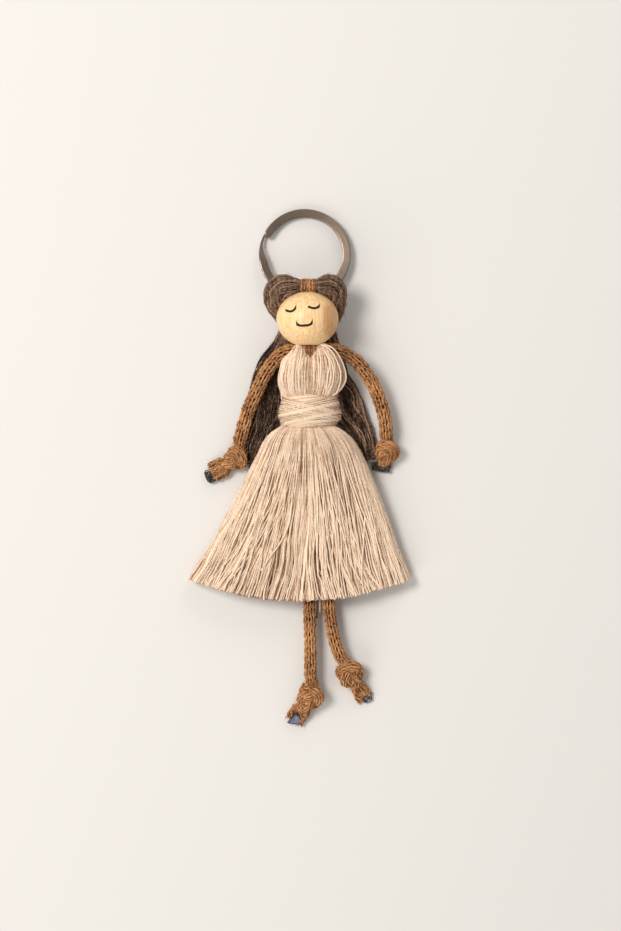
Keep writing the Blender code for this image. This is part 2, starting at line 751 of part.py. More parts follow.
def arm(side_name, side, upper_shares, fore_shares, hand_share, leave, tail_length, stand_off):
    """Two stretches of cord and the hand. Places are shares of the way from shoulder to hand in X
    and of the arm's span in Y."""
    leave = Vector(leave).normalized()
    shoulder = Vector((left_shoulder_x if side < 0 else right_shoulder_x, shoulder_y, shoulder_height))
    shoulder_axis = joint_empty(side_name + "_shoulder_axis", shoulder)
    hand_height = hand_knot_width / 2 + knot_seat + gap
    hand_y = shoulder.y + arm_span * hand_share
    hand_x = hand_place(side, hand_y, leave, tail_length, stand_off)

    def place(share_xy, height):
        return Vector((shoulder.x + (hand_x - shoulder.x) * share_xy[0],
                       shoulder.y + arm_span * share_xy[1], height))

    elbow = place(fore_shares[0], elbow_height)
    hand = Vector((hand_x, hand_y, hand_height))
    run = (elbow - place(upper_shares[-1], elbow_height)).normalized()
    drop = (elbow_height - shoulder_height) / (len(upper_shares) + 1)
    upper = [shoulder] + [place(xy, shoulder_height + drop * (i + 1)) for i, xy in enumerate(upper_shares)]
    upper.append(elbow - run * (cord_radius + gap))
    path, shares = rounded(smooth_path(upper, 2), cord_radius, True)
    tube("upper_arm_" + side_name, path, cord_diameter, caramel, shares, joint=shoulder_axis)
    elbow_axis = joint_empty(side_name + "_elbow_axis", elbow, shoulder_axis)
    arrive = (hand - place(fore_shares[-1], hand_height)).normalized()
    drop = (hand_height - elbow_height) / len(fore_shares)
    fore = [elbow] + [place(xy, elbow_height + drop * (i + 0.5)) for i, xy in enumerate(fore_shares[1:])]
    fore.append(hand - arrive * (hand_knot_length / 2 + gap))
    path, shares = rounded(smooth_path(fore, 3), cord_radius, False)
    tube("forearm_" + side_name, path, cord_diameter, caramel, shares, joint=elbow_axis)
    limb_end("hand_" + side_name, hand, arrive, leave, hand_knot_length, hand_knot_width,
             tail_length, elbow_axis)
    print(side_name, "elbow", [round(v, 5) for v in elbow], "hand", [round(v, 5) for v in hand])


def leg(side_name, hip_x, knee_x, shin_shares, foot_share, leave):
    """Thigh under the skirt, shin and foot. Shin places are shares of its length from the knee."""
    hip = Vector((hip_x, hip_y, hip_height))
    knee = Vector((knee_x, knee_y, knee_height))
    hip_axis = joint_empty(side_name + "_hip_axis", hip)
    run = (knee - hip).normalized()
    thigh = [hip, hip.lerp(knee, 1 / 3), hip.lerp(knee, 2 / 3), knee - run * (cord_radius + gap)]
    path, shares = rounded(smooth_path(thigh, 3), cord_radius, False)
    tube("thigh_" + side_name, path, cord_diameter, caramel, shares, joint=hip_axis)
    knee_axis = joint_empty(side_name + "_knee_axis", knee, hip_axis)
    foot_height = foot_knot_width / 2 + knot_seat + gap

    def place(share_xy, share):
        return Vector((knee.x + shin_length * share_xy[0], knee.y + shin_length * share_xy[1],
                       knee_height + (foot_height - knee_height) * share))

    foot = place(foot_share, 1)
    last = place(shin_shares[-1], 1)
    arrive = (foot - last).normalized()
    shin = [knee] + [place(xy, (i + 1) / (len(shin_shares) + 1)) for i, xy in enumerate(shin_shares)]
    shin.append(foot - arrive * (foot_knot_length / 2 + gap))
    path, shares = rounded(smooth_path(shin, 3), cord_radius, False)
    tube("shin_" + side_name, path, cord_diameter, caramel, shares, joint=knee_axis)
    limb_end("foot_" + side_name, foot, arrive, Vector(leave), foot_knot_length, foot_knot_width,
             foot_tail_length, knee_axis)
    print(side_name, "knee", [round(v, 5) for v in knee], "foot", [round(v, 5) for v in foot])


head_bead()
neck_cord()
split_ring()
hanger()
hair()
waist()
bodice()
body_cords()
skirt()
arm("left", -1, [(0.207, -0.135)], [(0.486, -0.345), (0.669, -0.520), (0.814, -0.670)],
    -0.855, (-0.85, -0.53, 0), left_hand_tail_length, left_hand_stand_off)
arm("right", 1, [(0.146, -0.045), (0.424, -0.155)], [(0.729, -0.320), (0.849, -0.480), (0.928, -0.640)],
    -0.820, (-0.33, -0.94, 0), right_hand_tail_length, right_hand_stand_off)
leg("left", left_hip_x, left_knee_x, [(0.004, -0.30), (0.010, -0.66)], (0.017, -0.970), (-0.55, -0.83, 0))
leg("right", right_hip_x, right_knee_x, [(0.022, -0.13), (0.060, -0.34), (0.123, -0.527)],
    (0.233, -0.717), (0.49, -0.87, 0))

print("bight centre", [round(v, 5) for v in bight_centre])
print("ring centre", [round(v, 5) for v in ring_centre], "tilt", round(math.degrees(ring_tilt), 3))
print("hips", round(hip_y, 5), "knees", round(knee_y, 5), "bead", round(bead_y, 5))
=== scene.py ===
import math

import bpy
import numpy as np
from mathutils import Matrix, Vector


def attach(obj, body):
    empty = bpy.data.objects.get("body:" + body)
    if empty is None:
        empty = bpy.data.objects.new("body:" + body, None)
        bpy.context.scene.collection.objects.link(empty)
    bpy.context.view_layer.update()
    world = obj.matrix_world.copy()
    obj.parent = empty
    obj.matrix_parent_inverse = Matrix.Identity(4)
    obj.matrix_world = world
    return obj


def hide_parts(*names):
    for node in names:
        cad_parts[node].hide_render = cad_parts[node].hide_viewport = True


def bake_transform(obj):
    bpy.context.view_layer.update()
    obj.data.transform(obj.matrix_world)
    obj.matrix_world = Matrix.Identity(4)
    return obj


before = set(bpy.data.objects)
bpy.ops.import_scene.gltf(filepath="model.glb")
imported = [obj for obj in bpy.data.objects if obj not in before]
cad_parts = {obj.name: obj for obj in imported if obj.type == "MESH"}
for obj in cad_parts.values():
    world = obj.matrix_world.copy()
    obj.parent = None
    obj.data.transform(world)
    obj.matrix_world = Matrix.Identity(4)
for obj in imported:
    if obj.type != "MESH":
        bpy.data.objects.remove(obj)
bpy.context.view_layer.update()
mm = 0.001
turn = 2 * math.pi


# Camera: straight down, head of the doll at the top of the picture

cameraSettings = {"lens": 85, "sensor": 36, "place": (0.97, 0.94, 721.4)}


def makeCamera(settings):
    data = bpy.data.cameras.new("camera")
    data.sensor_fit = "VERTICAL"
    data.sensor_height = settings["sensor"]
    data.lens = settings["lens"]
    data.clip_start = 0.01
    made = bpy.data.objects.new("camera", data)
    made.location = [value * mm for value in settings["place"]]
    bpy.context.scene.collection.objects.link(made)
    bpy.context.scene.camera = made


makeCamera(cameraSettings)
print("camera placed")


# Finishes

def tint(red, green, blue):
    # picture colour, 0 to 255, as the shader's linear colour
    held = [value / 255 for value in (red, green, blue)]
    return [v / 12.92 if v <= 0.04045 else ((v + 0.055) / 1.055) ** 2.4 for v in held] + [1]


class Wire:
    # a shader value that can be written in sums
    def __init__(self, finish, socket):
        self.finish = finish
        self.socket = socket

    def maths(self, operation, first, second=None):
        given = {i: v for i, v in enumerate((first, second)) if v is not None}
        return self.finish.node("ShaderNodeMath", {"operation": operation}, given)

    def sine(self):
        return self.maths("SINE", self)

    def size(self):
        return self.maths("ABSOLUTE", self)

    def step(self, low, high):
        # 0 below low, 1 above high, smooth between them
        return self.finish.node("ShaderNodeMapRange", {"interpolation_type": "SMOOTHSTEP"},
                                {0: self, 1: low, 2: high})


def giveOperator(sign, operation):
    # the sign between a wire and a value, with the wire on its left or on its right
    setattr(Wire, f"__{sign}__", lambda self, other: self.maths(operation, self, other))
    setattr(Wire, f"__r{sign}__", lambda self, other: self.maths(operation, other, self))


for signHeld in (("add", "ADD"), ("sub", "SUBTRACT"), ("mul", "MULTIPLY"), ("truediv", "DIVIDE"),
                 ("pow", "POWER")):
    giveOperator(*signHeld)


class Finish:
    # a material built round one Principled shader
    def __init__(self, name, **even):
        self.material = bpy.data.materials.new(name)
        self.material.use_nodes = True
        self.tree = self.material.node_tree
        self.shader = self.tree.nodes["Principled BSDF"]
        for socket, value in even.items():
            self.feed(self.shader.inputs[socket.replace("_", " ")], value)

    def feed(self, socket, value):
        if isinstance(value, Wire):
            self.tree.links.new(value.socket, socket)
        else:
            socket.default_value = value

    def node(self, kind, settings=(), sockets=(), out=0):
        made = self.tree.nodes.new(kind)
        for key, value in dict(settings).items():
            setattr(made, key, value)
        for key, value in dict(sockets).items():
            self.feed(made.inputs[key], value)
        return Wire(self, made.outputs[out])

    def mix(self, factor, first, second):
        return self.node("ShaderNodeMix", {"data_type": "RGBA"}, {0: factor, 6: first, 7: second}, 2)

    def place(self, scale=(1, 1, 1)):
        # the part's own coordinates in millimetres, stretched
        held = self.node("ShaderNodeTexCoord", out=3)
        return self.node("ShaderNodeVectorMath", {"operation": "MULTIPLY"},
                         {0: held, 1: [s / mm for s in scale]})

    def parts(self, vector):
        made = self.tree.nodes.new("ShaderNodeSeparateXYZ")
        self.feed(made.inputs[0], vector)
        return [Wire(self, held) for held in made.outputs]

    def yarn(self):
        # how far round its yarn a place lies, 0 to 1, and how far along it
        return self.parts(self.node("ShaderNodeUVMap", {"uv_map": "yarn"}))[:2]

    # the tone attribute: each strand's own tone; on skirt, bodice, waist and hair strands it also holds
    # painted shade, and on the melted tips it marks the painted reflection
    def tone(self):
        return self.node("ShaderNodeAttribute", {"attribute_name": "tone"}, out=2)

    def noise(self, vector, scale, detail=2.0, rough=0.5):
        return self.node("ShaderNodeTexNoise", {}, {"Vector": vector, "Scale": scale,
                                                     "Detail": detail, "Roughness": rough})

    def joined(self, x, y, z):
        return self.node("ShaderNodeCombineXYZ", {}, {0: x, 1: y, 2: z})

    def use(self, socket, value):
        self.feed(self.shader.inputs[socket], value)

    def bump(self, height, depth):
        self.use("Normal", self.node("ShaderNodeBump", {}, {"Strength": 1.0, "Distance": depth * mm,
                                                            "Height": height}))


def yarnFinish(name, settings):
    # twisted yarn: plies that run round it, fibres along it, a tone for each strand; the grooves between the
    # plies are darkened as painted shade, and on many strands the tone holds painted shade too
    made = Finish(name, Roughness=settings["roughness"], Sheen_Weight=settings["sheen"],
                  Sheen_Roughness=0.6, Sheen_Tint=settings["lit"], Specular_IOR_Level=0.25)
    (around, along), tone = made.yarn(), made.tone()
    ply = ((around + along / settings["pitch"]) * turn).sine() * 0.5 + 0.5
    fibre = made.noise(made.joined(around * 5 + tone * 40, along * settings["fibre"], tone * 90), 1.6, 3)
    cloud = made.noise(made.place(), settings["cloud"], 2)
    # plyShade darkens the grooves between the plies: painted shade
    light = tone * settings["spread"] + fibre * settings["streak"] + cloud * 0.45 + ply * settings["plyShade"]
    light = (light - settings["start"]).step(0, 1)
    made.use("Base Color", made.mix(light, settings["dark"], settings["lit"]))
    made.bump(ply * settings["ridge"] + fibre, settings["depth"])
    return made


# dark is the colour both of darker yarn and of the painted shade between strings and plies
yarnSettings = {
    "dress": {"dark": tint(160, 116, 82), "lit": tint(245, 222, 197), "roughness": 0.80, "sheen": 0.20,
              "pitch": 1.5, "fibre": 0.35, "cloud": 0.30, "spread": 1.10, "streak": 0.40, "plyShade": 0.10,
              "start": 0.38, "ridge": 1.2, "depth": 0.05},
    "cord": {"dark": tint(100, 56, 30), "lit": tint(230, 172, 118), "roughness": 0.85, "sheen": 0.12,
             "pitch": 1.6, "fibre": 0.5, "cloud": 0.5, "spread": 0.85, "streak": 0.90, "plyShade": 0.16,
             "start": 0.68, "ridge": 0.5, "depth": 0.06},
    "hair": {"dark": tint(38, 25, 19), "lit": tint(196, 158, 132), "roughness": 0.9, "sheen": 0.10,
             "pitch": 1.8, "fibre": 0.45, "cloud": 0.5, "spread": 0.70, "streak": 1.10, "plyShade": 0.20,
             "start": 0.78, "ridge": 0.6, "depth": 0.08},
}
dressFinish = yarnFinish("dressCotton", yarnSettings["dress"])
cordFinish = yarnFinish("cordYarn", yarnSettings["cord"])
hairFinish = yarnFinish("hairWool", yarnSettings["hair"])


def shadedCoreFinish(name, dark, lit):
    # packed fibres seen deep between the yarns, in dark colours that are painted shade
    made = Finish(name, Roughness=0.95, Specular_IOR_Level=0.1)
    grain = made.noise(made.place(), 2.4, 4)
    made.use("Base Color", made.mix(grain.step(0.35, 0.7), dark, lit))
    made.bump(grain, 0.15)
    return made


cordCoreShadeFinish = shadedCoreFinish("cordCore", tint(52, 26, 12), tint(96, 52, 24))
dressCoreShadeFinish = shadedCoreFinish("dressCore", tint(176, 142, 110), tint(220, 190, 158))
hairCoreShadeFinish = shadedCoreFinish("hairCore", tint(38, 26, 20), tint(84, 62, 50))


# The face: closed eyes and a smile as inked curves
# y = base + slope * d + square * d^2 + cube * d^3 + fourth * d^4, with d = x - middle
faceLines = [
    {"middle": -5.4, "terms": (49.95, 0.0, 0.32, 0.079, 0.0), "left": -7.0, "right": -3.55},
    {"middle": 2.15, "terms": (50.90, 0.0, 0.231, 0.054, 0.0), "left": 0.15, "right": 3.95},
    {"middle": -1.0, "terms": (45.38, 0.04, 0.0, 0.0, 0.024), "left": -3.6, "right": 1.7},
]
beadSettings = {
    "radius": 10.0, "length": 17.0, "bore": 6.2, "soften": 0.45, "centre": (0, 48.1, 14.0), "inkHalf": 0.38,
    "corner": ((0.405, 0.12), (0.2475, 0.03), (0.09, 0.06), (0.02, 0.25), (0.0, 0.6)),
    "patch": {"x": 7.6, "y": 47.4, "halfWide": 3.4, "halfTall": 6.5},
    "pale": tint(253, 220, 168), "warm": tint(228, 174, 112), "amber": tint(196, 124, 60),
    "ink": tint(42, 22, 10)}


def woodFinish(settings):
    made = Finish("beadWood", Coat_Roughness=0.25, Specular_IOR_Level=0.4)
    x, y, z = made.parts(made.place())
    wave = made.noise(made.place((0.5, 0.06, 0.5)), 1.0, 3)
    grain = made.noise(made.joined(x * 1.5 + wave * 2, y * 0.10, z * 1.5), 1.0, 4, 0.6)
    pores = made.noise(made.place((9, 0.7, 9)), 1.0, 2)
    cloud = made.noise(made.place(), 0.16, 3)
    # an amber patch at the right side, mixed in by the grain
    spot = settings["patch"]
    across = (x - spot["x"] + (wave - 0.5) * 5) / spot["halfWide"]
    down = (y - spot["y"] + (cloud - 0.5) * 9) / spot["halfTall"]
    patch = 1 - (across * across + down * down).step(0.35, 1.3)
    colour = made.mix(grain.step(0.30, 0.85), settings["pale"], settings["warm"])
    colour = made.mix(patch * (0.34 + grain * 0.5), colour, settings["amber"])
    colour = made.mix(pores.step(0.60, 0.74) * 0.28, colour, settings["amber"])
    half, soft = settings["inkHalf"], 0.08
    ink = None
    for line in faceLines:
        d = x - line["middle"]
        base, slope, square, cube, fourth = line["terms"]
        rise = ((d * fourth + cube) * d + square) * d + slope
        tilt = ((d * (4 * fourth) + 3 * cube) * d + 2 * square) * d + slope
        away = (y - (rise * d + base)).size() / (tilt * tilt + 1) ** 0.5
        beyond = ((d + (line["middle"] - (line["left"] + line["right"]) / 2)).size()
                  - (line["right"] - line["left"]) / 2)
        uneven = (made.noise(made.place(), 1.3, 2) - 0.5) * 0.16
        held = 1 - (away + uneven).step(half - soft, half + soft)
        held = held * (1 - beyond.step(-0.12, 0.16))
        ink = held if ink is None else ink.maths("MAXIMUM", ink, held)
    ink = ink * z.step(settings["centre"][2] + 1, settings["centre"][2] + 2)
    made.use("Base Color", made.mix(ink, colour, settings["ink"]))
    made.use("Roughness", 0.42 + grain * 0.12 + ink * 0.35)
    made.use("Coat Weight", 0.22 - ink * 0.22)
    made.bump(grain * 0.5 + pores * 0.5, 0.03)
    return made


def steelFinish():
    made = Finish("ringNickel", Specular_IOR_Level=0.5)
    around, along = made.yarn()
    drawn = made.noise(made.joined(around * 60, along * 0.12, 0), 1.0, 3)
    stain = made.noise(made.place(), 0.22, 3)
    marks = made.noise(made.place((3, 3, 3)), 1.0, 5, 0.7)
    colour = made.mix(stain.step(0.35, 0.7), tint(150, 133, 120), tint(138, 121, 108))
    made.use("Base Color", made.mix(marks.step(0.60, 0.74) * 0.35, colour, tint(112, 101, 92)))
    made.use("Metallic", 1.0)
    made.use("Roughness", 0.18 + drawn * 0.08 + stain * 0.06)
    made.bump(drawn * 0.7 + marks * 0.3, 0.012)
    return made


def meltedFinish():
    made = Finish("meltedEnd", Coat_Roughness=0.05, Coat_Weight=0.8, Specular_IOR_Level=0.6)
    face = made.tone()
    soot = made.noise(made.place(), 1.6, 4)
    # black melt; where the tone marks the dished face, a painted blue-grey reflection
    made.use("Base Color", made.mix((face + (soot - 0.5) * 0.5).step(0.35, 0.75),
                                    tint(14, 12, 13), tint(112, 120, 150)))
    made.use("Roughness", 0.14 + soot * 0.25)
    made.bump(soot, 0.12)
    return made


beadFinish = woodFinish(beadSettings)
ringFinish = steelFinish()
tipFinish = meltedFinish()
floorFinish = Finish("paleFloor", Roughness=0.8, Specular_IOR_Level=0.2, Base_Color=tint(226, 224, 221))
print("finishes ready")


# Stage and lights

stageSettings = {"half": 3.0, "drop": 0.0001}
lightSettings = [
    {"name": "key", "place": (-0.56, 0.30, 1.02), "size": 0.40, "watts": 9.6, "colour": (1.0, 0.965, 0.92)},
    {"name": "fill", "place": (-0.60, -0.72, 0.62), "size": 0.80, "watts": 4.2, "colour": (1.0, 0.97, 0.93)},
    {"name": "rim", "place": (0.35, 0.90, 0.60), "size": 0.50, "watts": 2.0, "colour": (1.0, 0.98, 0.95)},
]
worldSettings = {"colour": (1.0, 0.97, 0.93, 1), "strength": 0.38}


def makeStage():
    half, drop = stageSettings["half"], -stageSettings["drop"]
    mesh = bpy.data.meshes.new("floor")
    mesh.from_pydata([(-half, -half, drop), (half, -half, drop), (half, half, drop), (-half, half, drop)],
                     [], [(0, 1, 2, 3)])
    mesh.materials.append(floorFinish.material)
    floor = bpy.data.objects.new("floor", mesh)
    bpy.context.scene.collection.objects.link(floor)
    for held in lightSettings:
        data = bpy.data.lights.new(held["name"], "AREA")
        data.size = held["size"]
        data.energy = held["watts"]
        data.color = held["colour"]
        made = bpy.data.objects.new(held["name"], data)
        made.location = held["place"]
        made.rotation_euler = (-Vector(held["place"])).to_track_quat("-Z", "Y").to_euler()
        bpy.context.scene.collection.objects.link(made)
    world = bpy.data.worlds.new("studio")
    world.use_nodes = True
    background = world.node_tree.nodes["Background"].inputs
    background["Color"].default_value = worldSettings["colour"]
    background["Strength"].default_value = worldSettings["strength"]
    bpy.context.scene.world = world
    bpy.context.scene.view_settings.view_transform = "Standard"


makeStage()
print("stage and lights ready")


# Curves, frames and lofts

def unit(vectors):
    return vectors / np.maximum(np.linalg.norm(vectors, axis=-1, keepdims=True), 1e-9)


def smoothStep(value, low, high):
    t = np.clip((value - low) / (high - low), 0, 1)
    return t * t * (3 - 2 * t)


def smoothLines(places, steps):
    # smooth curves through rows of places: lines x places x 3 in, lines x points x 3 out
    held = np.asarray(places, float)
    held = held[None] if held.ndim == 2 else held
    held = np.concatenate([2 * held[:, :1] - held[:, 1:2], held, 2 * held[:, -1:] - held[:, -2:-1]], axis=1)
    t = np.linspace(0, 1, steps, endpoint=False)[:, None]
    made = []
    for i in range(1, held.shape[1] - 2):
        a, b, c, d = (held[:, k, None] for k in range(i - 1, i + 3))
        made.append(0.5 * (2 * b + (c - a) * t + (2 * a - 5 * b + 4 * c - d) * t ** 2
                           + (3 * b - 3 * c + d - a) * t ** 3))
    return np.concatenate(made + [held[:, -2:-1]], axis=1)


def runOf(line):
    return np.concatenate([[0], np.cumsum(np.linalg.norm(np.diff(line, axis=0), axis=1))])


def sampled(at, marks, line):
    return np.column_stack([np.interp(at, marks, line[:, k]) for k in range(3)])


def evenly(places, steps, spacing):
    # a smooth line with points at even distances, and how far through the places each point is
    fine = smoothLines(places, steps)[0]
    run = runOf(fine)
    at = np.linspace(0, run[-1], int(run[-1] / spacing))
    return sampled(at, run, fine), np.interp(at, run, np.linspace(0, 1, len(fine)))


def framesAlong(lines, first):
    # normals carried along each line without twist, from near the first direction, and what lies across them
    tangents = unit(np.gradient(lines, axis=1))
    normals = np.zeros_like(lines)
    held = np.broadcast_to(np.asarray(first, float), lines[:, 0].shape)
    for i in range(lines.shape[1]):
        held = unit(held - tangents[:, i] * (held * tangents[:, i]).sum(-1, keepdims=True))
        normals[:, i] = held
    return normals, np.cross(tangents, normals)


def frameOf(line, first):
    return (held[0] for held in framesAlong(line[None], first))


def plied(yarn, spins, offset, first):
    # strands that wind round one yarn, each with its own turns along it
    normal, across = frameOf(yarn, first)
    return [yarn + (normal * np.cos(spin)[:, None] + across * np.sin(spin)[:, None]) * offset
            for spin in spins]


def ovals(line, first, firstHalf, second, secondHalf, sides):
    # rings of oval section along a line
    angles = np.arange(sides) * turn / sides
    return (line[:, None] + first[:, None] * firstHalf[:, None, None] * np.cos(angles)[:, None]
            + second[:, None] * secondHalf[:, None, None] * np.sin(angles)[:, None])


def lofted(rings, tone=0.5, finish=0, closed=False):
    # faces on lofts given as lofts x stations x sides x 3, with what one mesh needs of them
    rings = np.asarray(rings, float)
    count, stations, sides = rings.shape[:3]
    index = np.arange(count * stations * sides).reshape(count, stations, sides)
    low = index if closed else index[:, :-1]
    high = np.roll(index, -1, axis=1) if closed else index[:, 1:]
    quads = np.stack([low, np.roll(low, -1, axis=2), np.roll(high, -1, axis=2), high], axis=-1)
    middle = rings.mean(axis=2)
    steps = np.linalg.norm(np.diff(middle, axis=1, append=middle[:, :1]), axis=-1)
    run = np.concatenate([np.zeros((count, 1)), np.cumsum(steps, axis=1)], axis=1)
    spans = quads.shape[1]
    around = np.broadcast_to(np.stack([np.arange(sides), np.arange(sides) + 1, np.arange(sides) + 1,
                                       np.arange(sides)], axis=-1) / sides, quads.shape)
    start, end = run[:, :spans, None], run[:, 1:spans + 1, None]
    along = np.broadcast_to(np.stack([start, start, end, end], axis=-1), quads.shape)
    girth = float(np.linalg.norm(rings[:, :, 0] - middle, axis=-1).mean() * turn)
    return {"points": rings.reshape(-1, 3), "quads": quads.reshape(count, -1, 4),
            "around": around.reshape(count, -1, 4), "along": along.reshape(count, -1, 4),
            "caps": None if closed else np.stack([index[:, 0, ::-1], index[:, -1]], axis=1),
            "length": run[:, spans], "girth": girth, "finish": finish,
            "tone": np.broadcast_to(np.asarray(tone, float).reshape(-1, 1)
                                    if np.ndim(tone) <= 1 else tone, (count, stations * sides)).ravel()}


def tubes(lines, radii, tone, sides=5, first=(0.25, 0.15, 1.0)):
    lines = np.asarray(lines, float)
    normals, across = framesAlong(lines, first)
    angles = np.arange(sides) * turn / sides
    radii = np.broadcast_to(radii, lines.shape[:2])[:, :, None, None]
    rings = lines[:, :, None] + radii * (normals[:, :, None] * np.cos(angles)[:, None]
                                         + across[:, :, None] * np.sin(angles)[:, None])
    return lofted(rings, np.repeat(tone, sides, axis=1) if np.ndim(tone) == 2 else tone)


def paired(first, second):
    return np.stack(np.broadcast_arrays(first, second), axis=-1).reshape(-1, 2)


def meshPiece(name, groups, finishes, body, nodes=(), blend=None):
    # one mesh from groups of lofts, with its bake layout, yarn coordinates, finish and body
    areas = np.array([float(g["length"].sum()) * g["girth"] for g in groups])
    points, corners, sizes, bake, yarn, tones, finishNumbers = [], [], [], [], [], [], []
    offset, bottom = 0, 0.0
    for group, band in zip(groups, areas / areas.sum()):
        # each loft has a cell of the group's band in the bake layout
        count = len(group["quads"])
        rows = max(1, round(math.sqrt(band * count * group["girth"] / float(group["length"].mean()))))
        columns = math.ceil(count / rows)
        cellWidth, cellHeight = 1 / columns, band / rows
        number = np.arange(count)
        left = (number % columns) * cellWidth
        low = bottom + (number // columns) * cellHeight
        bottom += band
        share = np.clip(group["along"] / group["length"][:, None, None], 0, 1)
        laid = [(group["quads"], left[:, None, None] + cellWidth * (0.06 + 0.88 * group["around"]),
                 low[:, None, None] + cellHeight * (0.02 + 0.96 * share), group["around"], group["along"])]
        if group["caps"] is not None:
            sides = group["caps"].shape[2]
            angles = np.arange(sides) * turn / sides
            ends = np.stack([low + cellHeight * 0.01, low + cellHeight * 0.99], axis=1)[:, :, None]
            reach = np.stack([np.zeros(count), group["length"]], axis=1)[:, :, None]
            middle = (left + cellWidth / 2)[:, None, None]
            laid.append((group["caps"], middle + cellWidth * 0.3 * np.cos(angles),
                         ends + cellHeight * 0.008 * np.sin(angles), np.arange(sides) / sides, reach))
        for faces, u, v, around, along in laid:
            corners.append((faces + offset).reshape(-1))
            sizes.append(np.full(faces.shape[0] * faces.shape[1], faces.shape[2]))
            finishNumbers.append(np.full(len(sizes[-1]), group["finish"]))
            bake.append(paired(u, v))
            yarn.append(paired(around, along))
        points.append(group["points"])
        tones.append(group["tone"])
        offset += len(group["points"])
    points, corners, sizes = np.concatenate(points), np.concatenate(corners), np.concatenate(sizes)
    mesh = bpy.data.meshes.new(name)
    mesh.vertices.add(len(points))
    mesh.vertices.foreach_set("co", (points * mm).ravel())
    mesh.loops.add(len(corners))
    mesh.loops.foreach_set("vertex_index", corners)
    mesh.polygons.add(len(sizes))
    mesh.polygons.foreach_set("loop_start", np.concatenate([[0], np.cumsum(sizes)[:-1]]))
    mesh.polygons.foreach_set("material_index", np.concatenate(finishNumbers))
    mesh.update(calc_edges=True)
    for layer, held in (("OFBake", bake), ("yarn", yarn)):
        mesh.uv_layers.new(name=layer).uv.foreach_set("vector", np.concatenate(held).ravel())
    mesh.attributes.new("tone", "FLOAT", "POINT").data.foreach_set("value", np.concatenate(tones))
    mesh.shade_smooth()
    mesh.set_sharp_from_angle(angle=math.radians(60))
    for finish in finishes:
        mesh.materials.append(finish.material)
    made = bpy.data.objects.new(name, mesh)
    bpy.context.scene.collection.objects.link(made)
    if blend:
        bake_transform(made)
    else:
        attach(made, body)
    if nodes:
        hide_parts(*nodes)
    print(f"{name}: {len(sizes)} faces")


# Head bead

def headBead(settings):
    radius, bore, end = settings["radius"], settings["bore"] / 2, settings["length"] / 2
    rim = math.acos(bore / radius)
    arc = np.linspace(-rim, rim, 90)
    outer = np.column_stack([radius * np.cos(arc), end / math.sin(rim) * np.sin(arc)])
    outer = outer[outer[:, 0] > bore + settings["soften"]]
    corner = [(bore + out, end - down) for out, down in settings["corner"]]
    inside = [(bore, y) for y in np.linspace(end - 1.5, 1.5 - end, 14)]
    lower = [(r, -y) for r, y in reversed(corner)]
    profile = np.vstack([outer, corner, inside, lower])[::-1]
    steps = 128
    angles = np.arange(steps) * turn / steps
    x0, y0, z0 = settings["centre"]
    rings = np.stack([x0 + profile[:, :1] * np.sin(angles), y0 + np.repeat(profile[:, 1:], steps, 1),
                      z0 - profile[:, :1] * np.cos(angles)], axis=-1)
    group = lofted(rings[None], closed=True)
    meshPiece("headBead", [group], [beadFinish], "head", ["head_bead"])


headBead(beadSettings)


# Split ring: flat wire in two coils, the step between them at the upper left

ringSettings = {"outer": 30.0, "wide": 2.6, "thick": 0.8, "gap": 0.42, "turns": 1.9, "startDegrees": 192,
                "ramp": 0.08, "centre": (-0.9, 69.904, 2.453), "tiltDegrees": -5.416, "corner": 0.26,
                "flat": 0.06, "pinch": 0.72, "pinchStarts": (-9.0, -4.5), "pinchStops": (-3.4, 4.6)}


def splitRing(settings):
    mean = (settings["outer"] - settings["wide"]) / 2
    rise = (settings["thick"] + settings["gap"]) / 2
    turns, ramp = settings["turns"], settings["ramp"]
    at = np.linspace(0, turns, int(turns * 240))
    level = rise * (2 * np.clip((at - (turns - ramp) / 2) / ramp, 0, 1) - 1)
    level = np.convolve(np.pad(level, 4, mode="edge"), np.ones(9) / 9, mode="valid")
    angle = math.radians(settings["startDegrees"]) + turn * at
    line = np.column_stack([mean * np.cos(angle), mean * np.sin(angle), level])
    # a flat section with rounded corners; the wire is filed thin at its ends and pinched at the step
    halfWide, halfThick, corner = settings["wide"] / 2, settings["thick"] / 2, settings["corner"]
    outline, flat = [], settings["flat"]
    for cx, cz, first in ((1, 1, 0), (-1, 1, 1), (-1, -1, 2), (1, -1, 3)):
        for step, past in ((0, -flat), (0, 0), (1, 0), (2, 0), (3, 0), (4, 0), (4, flat)):
            a = (first + step / 4) * turn / 4
            outline.append((cz * (halfThick - corner) + corner * math.sin(a) + past * math.cos(a),
                            cx * (halfWide - corner) + corner * math.cos(a) - past * math.sin(a)))
    outline = np.array(outline)
    run = runOf(line)
    run = runOf(line)
    ends = np.minimum(run, run[-1] - run)
    step = run - run[-1] / 2
    pinch = (settings["pinch"] * smoothStep(step, *settings["pinchStarts"])
             * (1 - smoothStep(step, *settings["pinchStops"])))
    narrow = np.clip(0.50 + ends / 2.6, 0, 1) - pinch
    thin = np.clip(0.45 + ends / 1.2, 0, 1)
    shift = -pinch * settings["wide"] / 2
    normals, across = frameOf(line, (0, 0, 1))
    rings = (line[:, None] + normals[:, None] * (outline[None, :, 0] * thin[:, None])[..., None]
             - across[:, None] * (outline[None, :, 1] * narrow[:, None] + shift[:, None])[..., None])
    group = lofted(rings[None])
    tilt = math.radians(settings["tiltDegrees"])
    x, y, z = group["points"].T
    centre = settings["centre"]
    group["points"] = np.column_stack([x + centre[0], y * math.cos(tilt) - z * math.sin(tilt) + centre[1],
                                       y * math.sin(tilt) + z * math.cos(tilt) + centre[2]])
    meshPiece("splitRing", [group], [ringFinish], "ring", ["split_ring"])


splitRing(ringSettings)
print("ring ready")


# Knitted cord: one plied yarn round and round in loops, each pulled through the last

